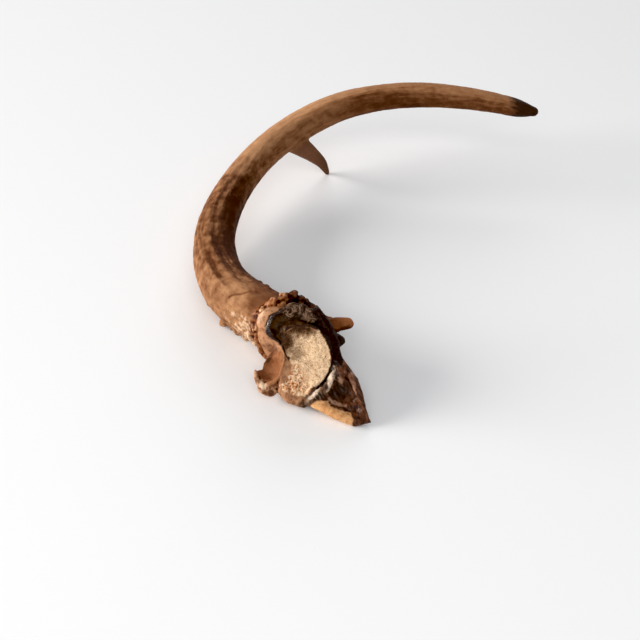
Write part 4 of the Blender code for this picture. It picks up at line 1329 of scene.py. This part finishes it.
def skull_fields(places):
    """All that the relief and the finish need to know of each place (u, v, w), by name."""
    wobble = 0.7 * waves(places, 3.0, 31) + 0.4 * waves(places, 1.4, 32)
    u, v, w = places.T
    ragged_u, ragged_v = u + 1.2 * wobble, v + 0.9 * wobble
    depth = break_depth(u, v, w)
    moved = places + 0.8 * wobble[:, None] * (1.0, 0.6, 0.0)
    apart, angle = np.min([(np.hypot(u - at_u, v - at_v), np.arctan2(v - at_v, u - at_u))
                           for at_u, at_v in WHORLS], axis=0)
    rings = np.stack((1.2 * apart + 1.5 * wobble + 0.6 * waves(places, 1.7, 38),
                      1.6 * np.cos(angle), 1.6 * np.sin(angle)), -1)
    lip = np.max([near_limb(moved, blade, 0.1, 1.1) for blade in LIP], axis=0)
    streaks = np.max([near_limb(moved, streak, -0.2, 1.8) for streak in STREAKS], axis=0)
    strip = outline_share(ragged_u, v + 0.4 * wobble, STRIP_OUTLINE, 0.5) * smooth_step(w, 70, 73)
    wedge = smooth_step(ragged_u - 0.35 * (v + 30), -2.5, 0.5) * smooth_step(-v, 24.0, 30.0)
    return {
        "on_break": (outline_share(ragged_u, ragged_v, BREAK_OUTLINE, 0.4)
                     * smooth_step(depth, -5.0, -4.0) * (1 - smooth_step(depth, 1.2, 1.8))),
        "in_pocket": near_limb(moved, POCKET, 0.8, 2.0),
        "near_pocket": near_limb(moved, POCKET, 0.5, 12.0),
        "in_cushion": (outline_share(ragged_u, ragged_v, CUSHION_OUTLINE, 0.5)
                       * smooth_step(w, 60.0, 63.0)),
        "in_band": np.maximum(near_limb(moved, BAND, 1.0, 2.2), near_limb(moved, BULGE, 1, 2.2)),
        "tissue_and_shade": outline_share(u + 0.5 * wobble, v, SHADED_TISSUE_OUTLINE, 0.4) * smooth_step(w, 59, 62),
        "in_strip": strip, "in_wedge": wedge * (1 - strip), "streaks": streaks,
        "on_lip": lip, "by_lip": near_limb(moved, LIP_ROOT, 1.0, 3.2),
        "in_groove": near_limb(moved, GROOVE, 0.2, 0.9),
        "on_rim": near_limb(places, RIM, 0.5, 1.2), "on_ridge": near_limb(places, RIDGE, 0.1, 0.8),
        "on_hook": near_limb(moved, HOOK, 0.6, 1.6),
        "in_spoon": outline_share(u, v, SPOON_OUTLINE, 1.0) * smooth_step(w, 56.0, 60.0),
        "rings": rings}


sample = np.array(((-10.0, -25.0, 75.0), (-18.0, 7.0, 71.0)))
print("on the break and in the cushion:",
      [round(float(skull_fields(sample)[name][k]), 2)
       for k, name in enumerate(("on_break", "in_cushion"))])

# %% [markdown]
# ## Relief of the skull
# Each finish has its own roughness. Spongy bone is crumbs and pores, dried tissue is creased
# where the waves' absolute value has its sharp folds, the wedge's fibres are waves squeezed
# along one direction, and outer bone only swells gently. They are mixed by the same regions.

# %% Relief of the skull
def along_fibres(places):
    """The same places, squeezed to a third along the wedge's fibres."""
    return places - 0.67 * (places @ WEDGE_WAY)[:, None] * WEDGE_WAY


def skull_relief(places, fields):
    """Height in mm of the roughness at each place: crumbs and pores on the break, folds on the
    cushion, creases on the band, fibres on the wedge, and gentle waves on the outer bone."""
    crumbs = 0.2 * waves(places, 1.25, 24) + 0.32 * waves(places, 2.9, 25)
    crumbs *= 1 + 1.3 * smooth_step(-places[:, 1], 32.0, 44.0)
    pores = np.clip(0.5 - pebbles(places, 1.8, 23), 0, 1)
    creases = 0.45 * (0.5 - np.abs(waves(places, 3.4, 26))) + 0.25 * waves(places, 1.6, 27)
    dragged = along_fibres(places)
    fibres = (0.4 * waves(dragged, 2.6, 34) + 0.2 * waves(dragged, 1.2, 35)
              + 0.5 * fields["streaks"])
    split = 0.3 * waves(dragged, 1.8, 36) + 0.3 * waves(places, 2.4, 37)
    melted = 0.7 * waves(places, 3.6, 39) + 0.2 * waves(places, 1.6, 28)
    gentle = 0.26 * waves(places, 5.0, 21) + 0.12 * waves(places, 1.9, 22)
    height = gentle
    for name, form in (("in_band", creases), ("in_wedge", fibres), ("by_lip", split),
                       ("on_hook", melted), ("on_rim", 0.9 * creases), ("on_ridge", 0.3 * gentle),
                       ("in_cushion", 0.25 * waves(fields["rings"], 1.4, 33) + 0.5 * creases),
                       ("on_break", crumbs - 0.7 * pores)):
        height = height + fields[name] * (form - height)
    return height


print("relief there:", skull_relief(sample, skull_fields(sample)).round(2), "mm")

# %% [markdown]
# ## Trim and roughen
# The stump is cut off where it meets the burr, and the floor stops everything at its own
# height. Then the skin is roughened by adding the relief to the distances near it.

# %% Trim and roughen the clay
BURR_CLEARANCE = 0.5                 # mm in front of the burr's plane
FLOOR_CLEARANCE = 0.02               # mm above the floor
SKIN_DEPTH = 1.6                     # mm on both sides of the skin that the relief is added to

burr_at = VIEW @ BURR_AT
burr_faces = VIEW @ BURR_FACES
u, v, w = clay.axes[0][:, None, None], clay.axes[1][None, :, None], clay.axes[2][None, None, :]
behind = ((burr_at[0] - u) * burr_faces[0] + (burr_at[1] - v) * burr_faces[1]
          + (burr_at[2] - w) * burr_faces[2]) + BURR_CLEARANCE
clay.distance = np.maximum(clay.distance, behind.astype(np.float32))
shell = np.argwhere(np.abs(clay.distance) < SKIN_DEPTH)
places = clay.low + shell * clay.step
relief = skull_relief(places, skull_fields(places))
clay.distance[tuple(shell.T)] -= relief.astype(np.float32)
height = COS * v + SIN * w
clay.distance = np.maximum(clay.distance, (FLOOR_CLEARANCE - height).astype(np.float32))
print("%d points of the grid lie near the skin" % len(shell))

# %% [markdown]
# ## A skin over the clay
# Every little cube of the grid that the surface passes through gets one point, at the mean
# of the places where the surface crosses its edges. Every grid edge that crosses the surface
# gets one face, from the four cubes round it. That net is closed, even and smooth.

# %% Net over the clay
CORNERS = np.array(list(np.ndindex(2, 2, 2)))
CUBE_EDGES = [(a, b) for a in range(8) for b in range(a + 1, 8)
              if np.abs(CORNERS[a] - CORNERS[b]).sum() == 1]


def lay_net(clay):
    """Points and four-cornered faces of the surface where the distance is zero."""
    field = clay.distance
    size = np.array(field.shape) - 1
    inside = field < 0
    corner_count = sum(inside[c[0]:c[0] + size[0], c[1]:c[1] + size[1], c[2]:c[2] + size[2]]
                       .astype(np.int8) for c in CORNERS)
    cells = np.argwhere((corner_count > 0) & (corner_count < 8))
    values = np.stack([field[tuple((cells + c).T)] for c in CORNERS], -1)
    total = np.zeros((len(cells), 3))
    many = np.zeros(len(cells))
    for a, b in CUBE_EDGES:
        crosses = (values[:, a] < 0) != (values[:, b] < 0)
        share = np.where(crosses, values[:, a] / (values[:, a] - values[:, b] + 1e-12), 0.0)
        spot = CORNERS[a] + share[:, None] * (CORNERS[b] - CORNERS[a])
        total += np.where(crosses[:, None], spot, 0.0)
        many += crosses
    points = clay.low + (cells + total / many[:, None]) * clay.step
    number = np.full(size, -1, np.int64)
    number[tuple(cells.T)] = np.arange(len(cells))
    faces = []
    for axis in range(3):
        first, second = [other for other in range(3) if other != axis]
        here = inside[tuple(slice(1, -1) if k != axis else slice(0, -1) for k in range(3))]
        after = inside[tuple(slice(1, -1) if k != axis else slice(1, None) for k in range(3))]
        for leaves in (True, False):
            found = np.argwhere((here & ~after) if leaves else (~here & after))
            found[:, [first, second]] += 1
            ring = []
            for da, db in ((0, 0), (1, 0), (1, 1), (0, 1)):
                cell = found.copy()
                cell[:, first] -= 1 - da
                cell[:, second] -= 1 - db
                ring.append(number[tuple(cell.T)])
            quad = np.stack(ring, -1)
            faces.append(quad if leaves == (axis != 1) else quad[:, ::-1])
    return points, np.concatenate(faces)


net_points, net_faces = lay_net(clay)
print("net:", len(net_points), "points,", 2 * len(net_faces), "triangles")

# %% [markdown]
# ## One body, closed
# Carving can leave crumbs of clay that touch nothing. Every point starts with its own number,
# and points that share a face take the lowest one among them, again and again, until each
# body has one number. The largest body stays. A closed skin has no edge with fewer than two
# faces, so the open edges are counted too.

# %% Keep the one body and make the mesh
SKULL_SOFTENING = 0.35               # share of the way to the neighbours' mean, once


def largest_body(points, faces):
    """Drops crumbs that touch nothing: points that share a face end up with one label."""
    label = np.arange(len(points))
    while True:
        lowest = label[faces].min(axis=1)
        new = label.copy()
        for corner in range(faces.shape[1]):
            np.minimum.at(new, faces[:, corner], lowest)
        new = new[new]
        if (new == label).all():
            break
        label = new
    keep_point = label == np.bincount(label).argmax()
    renumber = np.cumsum(keep_point) - 1
    return points[keep_point], renumber[faces[keep_point[faces].all(axis=1)]]


def open_edges(obj):
    """How many edges have fewer faces than two: none, where a skin is closed."""
    used = np.empty(len(obj.data.loops), np.int32)
    obj.data.loops.foreach_get("edge_index", used)
    return int((np.bincount(used, minlength=len(obj.data.edges)) < 2).sum())


net_points, net_faces = largest_body(net_points, net_faces)
skull = mesh_object("skull", net_points @ VIEW, net_faces)
points, _, edges = mesh_arrays(skull)
set_points(skull, soften(points, edges, 1, SKULL_SOFTENING))
shade_smooth(skull)
print("skull:", len(points), "points,", triangle_count(skull), "triangles")
print("open edges:", open_edges(skull), "on the skull,", open_edges(antler), "on the antler")

# %% [markdown]
# ## What the skull's finish reads
# The regions are worked out once more, now on the points of the finished mesh, and stored on
# them with the relief. A material then reads them by name.

# %% Numbers that the skull's finish reads
SKULL_LARGE_ROUNDS = 60              # softening that levels lumps of a few millimetres

points, _, _ = mesh_arrays(skull)
places = points @ VIEW.T
fields = skull_fields(places)
fields["relief_small"] = stand_out(skull, SMALL_ROUNDS)
fields["relief_large"] = stand_out(skull, SKULL_LARGE_ROUNDS)
fields["seen"] = places
fields["along_fibres"] = along_fibres(places)
for name, values in fields.items():
    keep(skull, name, values)
print("share of the skull's points on the break: %.2f" % (fields["on_break"] > 0.5).mean())

# %% [markdown]
# ## Signals for the skull's colours
# The skull's noise is read in the view's own millimetres, u, v and w, in which its forms were
# placed. Stains, painted highlights and painted shade sit at known places: a spot is 1 near
# its middle and 0 beyond, and noise is added before its edge is drawn, so that the edge is
# ragged as a real stain's is.

# %% Signals that the skull's colours share
skull_look = Finish("skull_finish")
seen = skull_look.vector("seen")
fine = skull_look.noise(seen, 1.1, 4.0, 0.65)
grit = skull_look.noise(seen, 2.6, 3.0, 0.6)
cloud = skull_look.noise(seen, 0.2, 3.0, 0.6)
stain = skull_look.noise(seen, 0.42, 4.0, 0.6)
drag = skull_look.noise(skull_look.vector("along_fibres"), 0.55, 4.0, 0.6, 0.6)
small = skull_look.number("relief_small")
large = skull_look.number("relief_large")


def spot(place, near, far):
    """1 within near mm of a place (u, v, w), 0 beyond far."""
    apart = skull_look.node("ShaderNodeVectorMath", {"operation": "DISTANCE"},
                            {0: seen, 1: place}, "Value")
    return 1 - apart.step(near, far)


def stain_and_light_at(place, near, far, low, high):
    """A spot whose edge is ragged: noise is added, and the edge runs from low to high."""
    return (spot(place, near, far) + (stain - 0.5)).step(low, high)


print("the skull's signals take", len(skull_look.tree.nodes), "nodes")

# %% [markdown]
# ## Outer bone
# Outside, the bone is smooth and pinkish tan, paler on its rises from wear and painted light,
# darker in its hollows from dirt and painted shade, with painted shade low on the stump, a
# painted highlight at its top left, hair-fine cracks and a brown scoop where the eye lay,
# partly painted shade in its hollow. The hook's broken end is blotched pale and dark, with a
# painted highlight on its upper left. Cracks are the places where a noise is almost exactly
# half, which makes thin wandering lines.

# %% Outer bone and hook
# A painted highlight at the stump's top left and on the hook, painted shade low on the stump, and a
# dark stain on the hook.
TOP_HIGHLIGHT_AT = (-37.8, 2.2, 58.0)                 # places as u, v, w in mm
STUMP_SHADE_AT = (-30.5, -23.0, 63.0)
HOOK_HIGHLIGHT_AT = (-36.6, -41.6, 68.4)
HOOK_DARK_AT = (-31.6, -46.8, 68.6)

split = skull_look.noise(skull_look.scaled(seen, (0.5, 0.16, 0.3)), 1.0, 4.0, 0.6, 1.5)
crack = (1.0 - (split - 0.5) * (split - 0.5) * 400.0).held()
# Rises are paler from wear and painted light, hollows darker from dirt and painted shade, and the
# large hollows darker still as painted shade.
wear_and_light = large * 0.3 + small * 1.4 + (fine - 0.5) * 1.2
dirt_and_shade = (stain - 0.5) * 1.4 - large * 0.5 - small * 2.0
deep = 0.12 - large * 0.5 + (stain - 0.5) * 0.5
scoop = mix(stain.step(0.3, 0.7), srgb(124, 74, 44), srgb(158, 102, 66))
bone = layered(
    mix(cloud.step(0.35, 0.65), srgb(184, 134, 98), srgb(158, 110, 79)),
    (stain_and_light_at(STUMP_SHADE_AT, 3.0, 13.0, 0.1, 0.9) * 0.88, srgb(92, 52, 31)),
    (stain_and_light_at(TOP_HIGHLIGHT_AT, 2.0, 8.0, 0.1, 0.8) * 0.75, srgb(226, 188, 154)),
    (wear_and_light.step(0.2, 0.8), srgb(206, 156, 116)),
    (dirt_and_shade.step(0.08, 0.7) * 0.85, srgb(88, 46, 25)),
    (crack * cloud.step(0.42, 0.56) * 0.6, srgb(78, 40, 22)),
    (skull_look.number("in_spoon") * 0.9, scoop),
    (deep.step(0.1, 0.9) * 0.8, srgb(70, 34, 16)))
hook = layered(
    mix((stain * 0.9 + cloud * 0.6 + large * 0.2 + small * 0.4).step(0.6, 1.0),
        srgb(98, 52, 30), srgb(204, 158, 122)),
    (stain_and_light_at(HOOK_HIGHLIGHT_AT, 1.0, 4.4, 0.2, 0.8), srgb(238, 206, 172)),
    (stain_and_light_at(HOOK_DARK_AT, 0.5, 3.5, 0.2, 0.6) * 0.9, srgb(74, 32, 16)))
print("with the outer bone:", len(skull_look.tree.nodes), "nodes")

# %% [markdown]
# ## The spongy break
# Broken spongy bone is cream, with a pit or a dark speck every millimetre, darker in its
# small hollows and paler on its small rises as painted shade and light. It is rusty and
# crumbly at the lower left, and it darkens to brown as painted shade towards the pocket,
# where it dips under the dried tissue, and in a shallow dip. Pores come from scattered
# points, specks and chips from noise at two sizes.

# %% Spongy break
RUST_AT = (-19.0, -38.5, 72.0)
# Painted shade in a shallow dip of the break.
DIP_SHADE_AT = (-14.6, -21.6, 74.0)

pores = skull_look.cells(seen, 0.5)
speck = skull_look.noise(seen, 1.5, 2.0, 0.55, 0.6)
chip = skull_look.noise(seen, 0.75, 2.0, 0.5, 0.8) - small * 0.7
crumbly = spot(RUST_AT, 4.0, 15.0)
near_pocket = skull_look.number("near_pocket")
hollow = fine * 0.9 + grit * 0.3 - small * 0.9 - crumbly * 0.06
raised = grit * 0.5 + small * 0.9 + fine * 0.5
# Painted shade towards the pocket: brown, and near black nearest to it.
shade_by_pocket = near_pocket * 1.5 + (stain - 0.5) * 1.2 + (grit - 0.5) * 0.6
deep_shade_by_pocket = near_pocket + (grit - 0.5) * 0.6 + (stain - 0.5) * 0.5
sponge = layered(
    mix(stain.step(0.42, 0.7), srgb(250, 216, 176), srgb(236, 194, 150)),
    (hollow.step(0.48, 0.85) * 0.7, srgb(186, 138, 96)),
    (raised.step(0.6, 0.9) * 0.6, srgb(254, 230, 200)),
    (pores.step(0.36, 0.12) * stain.step(0.42, 0.56) * 0.5, srgb(140, 100, 68)),
    ((speck + (cloud - 0.5) * 0.3).step(0.57, 0.66) * 0.8, srgb(128, 86, 54)),
    (crumbly * stain.step(0.38, 0.56) * 0.8, srgb(206, 130, 76)),
    (crumbly * chip.step(0.5, 0.6) * 0.85, srgb(122, 72, 40)),
    (crumbly * chip.step(0.42, 0.34) * 0.8, srgb(246, 222, 196)),
    (shade_by_pocket.step(0.1, 1.1) * 0.92,
     mix(fine.step(0.4, 0.64), srgb(70, 40, 20), srgb(136, 92, 56))),
    (deep_shade_by_pocket.step(0.62, 0.98) * 0.9, srgb(50, 29, 17)),
    (stain_and_light_at(DIP_SHADE_AT, 0.0, 8.0, 0.2, 0.8) * 0.6, srgb(122, 90, 64)))
print("with the break:", len(skull_look.tree.nodes), "nodes")

# %% [markdown]
# ## Dried tissue
# What dried on the bone is dark red-brown to black, with painted shade on it under the
# cushion and down the right side. On the wedge it is drawn out in fibres, so its noise is
# stretched along them, with painted shade in its deepest hollow and painted glints on its
# raised fibres. On the cushion it lies in pale folds that curl round two middles, so its noise
# is read in rings, with painted shade under its edge and a painted highlight near its right
# end. The pocket is a dull olive brown, partly painted shade in its hollow.

# %% Tissue, folds, lip and pocket
# Painted shade under the cushion's edge, and a painted highlight near its right end.
SHADE_AT = (-15.0, -0.5, 73.0)
FOLDS_HIGHLIGHT_AT = (-5.6, 2.8, 70.6)

glints = skull_look.number("streaks") * (drag * 1.5 + grit * 0.7 - 0.55).step(0.2, 0.75)
tissue = layered(
    mix(drag.step(0.38, 0.6), srgb(38, 15, 7), srgb(98, 56, 34)),
    ((drag + small * 0.7).step(0.62, 0.78) * 0.8, srgb(178, 132, 100)),
    (spot(WEDGE_SHADE_AT, 2.0, 10.0) * 0.8, srgb(28, 10, 5)),
    (glints * 0.9, srgb(202, 156, 128)))
strand = skull_look.noise(skull_look.vector("rings"), 1.1, 3.0, 0.65)
folds_highlight = spot(FOLDS_HIGHLIGHT_AT, 0.3, 2.4) + (fine - 0.5)
folds = layered(
    mix((strand + small * 0.5 + (stain - 0.5) * 0.9).step(0.42, 0.7), srgb(46, 28, 18),
        srgb(138, 108, 86)),
    (spot(SHADE_AT, 2.0, 7.0) * 0.85, srgb(38, 23, 15)),
    (folds_highlight.step(0.3, 0.7) * 0.85, srgb(222, 206, 190)))
# Dark tissue, with painted shade on the band down the right side and under the cushion.
dark = mix(fine.step(0.5, 0.75), srgb(34, 14, 7), srgb(84, 48, 30))
# The pocket's olive brown is partly painted shade in its hollow.
pocket = mix(cloud.step(0.4, 0.6), srgb(86, 58, 30), srgb(48, 26, 13))
splinters = mix(drag.step(0.42, 0.6), srgb(44, 26, 16), srgb(128, 94, 68))
lip = mix((drag * 0.5 + fine * 0.5 + small * 0.4).step(0.36, 0.58), srgb(150, 112, 86),
          srgb(244, 218, 192))
print("with the tissue:", len(skull_look.tree.nodes), "nodes")

# %% [markdown]
# ## Layer the skull's finishes
# Each finish is laid over the last where its region says so, as a painter would, from the
# plain bone up to the groove, whose near-black is painted shade in its crease, and the rim.
# The rim's whitish glints come from the finest noise, and gather round the place where the
# rim shines.

# %% Strip, rim and layers
GLINT_AT = (-32.2, -2.4, 70.2)

strip = layered(
    mix(cloud.step(0.3, 0.7), srgb(232, 180, 126), srgb(210, 150, 98)),
    ((stain * 0.6 + fine * 0.5).step(0.52, 0.68) * 0.6, srgb(166, 108, 66)))
rim = mix((grit - 0.5 + spot(GLINT_AT, 0.5, 6.0) * 0.22).step(0.22, 0.34), srgb(44, 25, 15),
          srgb(214, 192, 174))
region = skull_look.number
skull_colour = layered(
    bone, (region("on_hook") * 0.9, hook),
    (region("on_ridge") * (fine + 0.1).step(0.3, 0.6) * 0.5, srgb(158, 104, 68)),
    (region("in_wedge") * 0.96, tissue), (region("in_strip"), strip),
    (region("tissue_and_shade"), dark), (region("in_pocket") * 0.95, pocket),
    (region("in_cushion"), folds), (region("by_lip") * 0.9, splinters),
    (region("on_lip"), lip), (region("on_break"), sponge),
    (region("in_groove") * 0.9, srgb(34, 18, 10)), (region("on_rim") * 0.9, rim))
print("with all layers:", len(skull_look.tree.nodes), "nodes")

# %% [markdown]
# ## How the skull takes the light
# Bone is matt, and the break is the mattest of all. The tissue on rim, band and wedge dried
# glossy, so a thin coat lies there, and the roughness drops under it.

# %% Dress the skull
glossy = (region("in_wedge") * 0.35 + region("tissue_and_shade") * 0.2 + region("on_rim") * 0.8
          - region("in_cushion") * 0.5).held()
rough = 0.7 + (fine - 0.5) * 0.2 - glossy * 0.4 + region("on_break") * 0.15
grain = (fine - 0.5) * 0.8 + (grit - 0.5) * 0.4
skull_look.dress(
    skull, Base_Color=skull_colour, Roughness=rough.held(), Coat_Weight=glossy * 0.5,
    Coat_Roughness=0.2, Normal=skull_look.bump(grain, GRAIN_DEPTH, GRAIN_STRENGTH),
    Metallic=0.0, Specular_IOR_Level=0.07)

# %% [markdown]
# ## Put the pieces on the model
# The part has no joints, so both pieces ride on its one body. Each stands for the solids
# whose place it takes.

# %% Ride and replace
BODY = list(frame["bodies"])[0]      # the only one
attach(antler, BODY)
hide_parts("lower_beam", "upper_beam", "fork_tine")
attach(skull, BODY)
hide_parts("skull_fragment")
print("both ride on", BODY)

# %% [markdown]
# ## The floor
# The antler lies on white paper that runs far back. Its colour is painted a little darker
# behind the antler, as painted shade for the light of a room lit from one side falling off.

# %% Floor
FLOOR_HALF = 6.0                     # metres
PAPER_SHADES = (-0.5, 0.7)           # metres in front of and behind the model, where it darkens
PAPER_NEAR = (0.945, 0.942, 0.938)
PAPER_FAR = (0.78, 0.778, 0.778)

floor_mesh = bpy.data.meshes.new("floor")
floor_mesh.from_pydata([(x * FLOOR_HALF, y * FLOOR_HALF, 0)
                        for x, y in ((-1, -1), (1, -1), (1, 1), (-1, 1))], [], [(0, 1, 2, 3)])
floor = new_object("floor", floor_mesh)
paper = Finish("paper")
depth = paper.node("ShaderNodeSeparateXYZ", {}, {0: paper.place()}, "Y")
paper.dress(floor, Base_Color=mix(depth.step(*PAPER_SHADES), PAPER_NEAR, PAPER_FAR),
            Roughness=0.8, Specular_IOR_Level=0.2)

# %% [markdown]
# ## The camera
# The eye is 0.9 m away from the crook's point and looks down at 40 degrees. Its focal length
# is known in the picture's own pixels, so the lens follows from the sensor's width.

# %% Camera
EYE_DISTANCE = 900.0                 # mm
SENSOR_WIDTH = 36.0                  # mm
IMAGE_PIXELS = 640.0
FOCAL_PIXELS = 1300.0

eye = np.array((0.0, -EYE_DISTANCE * COS, EYE_DISTANCE * SIN))
camera_data = bpy.data.cameras.new("camera")
camera_data.sensor_width = SENSOR_WIDTH
camera_data.lens = SENSOR_WIDTH * FOCAL_PIXELS / IMAGE_PIXELS
camera = new_object("camera", camera_data)
camera.location = Vector((eye - ORIGIN) * MM)
camera.rotation_euler = (np.pi / 2 - LOOK_DOWN, 0.0, 0.0)
bpy.context.scene.camera = camera
print("camera at", [round(part, 4) for part in camera.location])

# %% [markdown]
# ## The light
# A broad window at the left does most of the work, low enough to throw soft shadows to the
# right. A dimmer one behind lights the beam's back, and the room in front lifts the shadows.
# They are rectangles of light that face the antler, because a broad source has soft shadows.

# %% Light
LIGHTS = (                           # name, place, width and height in metres, watts, colour
    ("window_left", (-3.32, 0.23, 1.08), (2.2, 1.5), 154.0, (1.0, 0.985, 0.96)),
    ("window_back", (0.2, 3.2, 1.5), (2.6, 1.8), 54.0, (0.97, 0.985, 1.0)),
    ("room_front", (0.0, -2.48, 2.48), (2.6, 1.6), 38.0, (1.0, 0.995, 0.98)))
ROOM_COLOUR, ROOM_STRENGTH = (0.93, 0.95, 1.0, 1.0), 0.32
BLACK_LEVEL = 0.008

for name, place, (width, height), watts, colour in LIGHTS:
    data = bpy.data.lights.new(name, "AREA")
    data.shape = "RECTANGLE"
    data.size = width
    data.size_y = height
    data.energy = watts
    data.color = colour
    lamp = new_object(name, data)
    lamp.location = place
    lamp.rotation_euler = (-Vector(place)).to_track_quat("-Z", "Y").to_euler()
world = bpy.data.worlds.new("room")
world.use_nodes = True
world.node_tree.nodes["Background"].inputs["Color"].default_value = ROOM_COLOUR
world.node_tree.nodes["Background"].inputs["Strength"].default_value = ROOM_STRENGTH
bpy.context.scene.world = world
view = bpy.context.scene.view_settings
view.view_transform = "Standard"
view.use_curve_mapping = True
view.curve_mapping.black_level = (BLACK_LEVEL, BLACK_LEVEL, BLACK_LEVEL)
view.curve_mapping.update()
print(len(LIGHTS), "lights of", sum(light[3] for light in LIGHTS), "watts")

# %% [markdown]
# The skin has to keep to the solids' box, within a millimetre on each side.
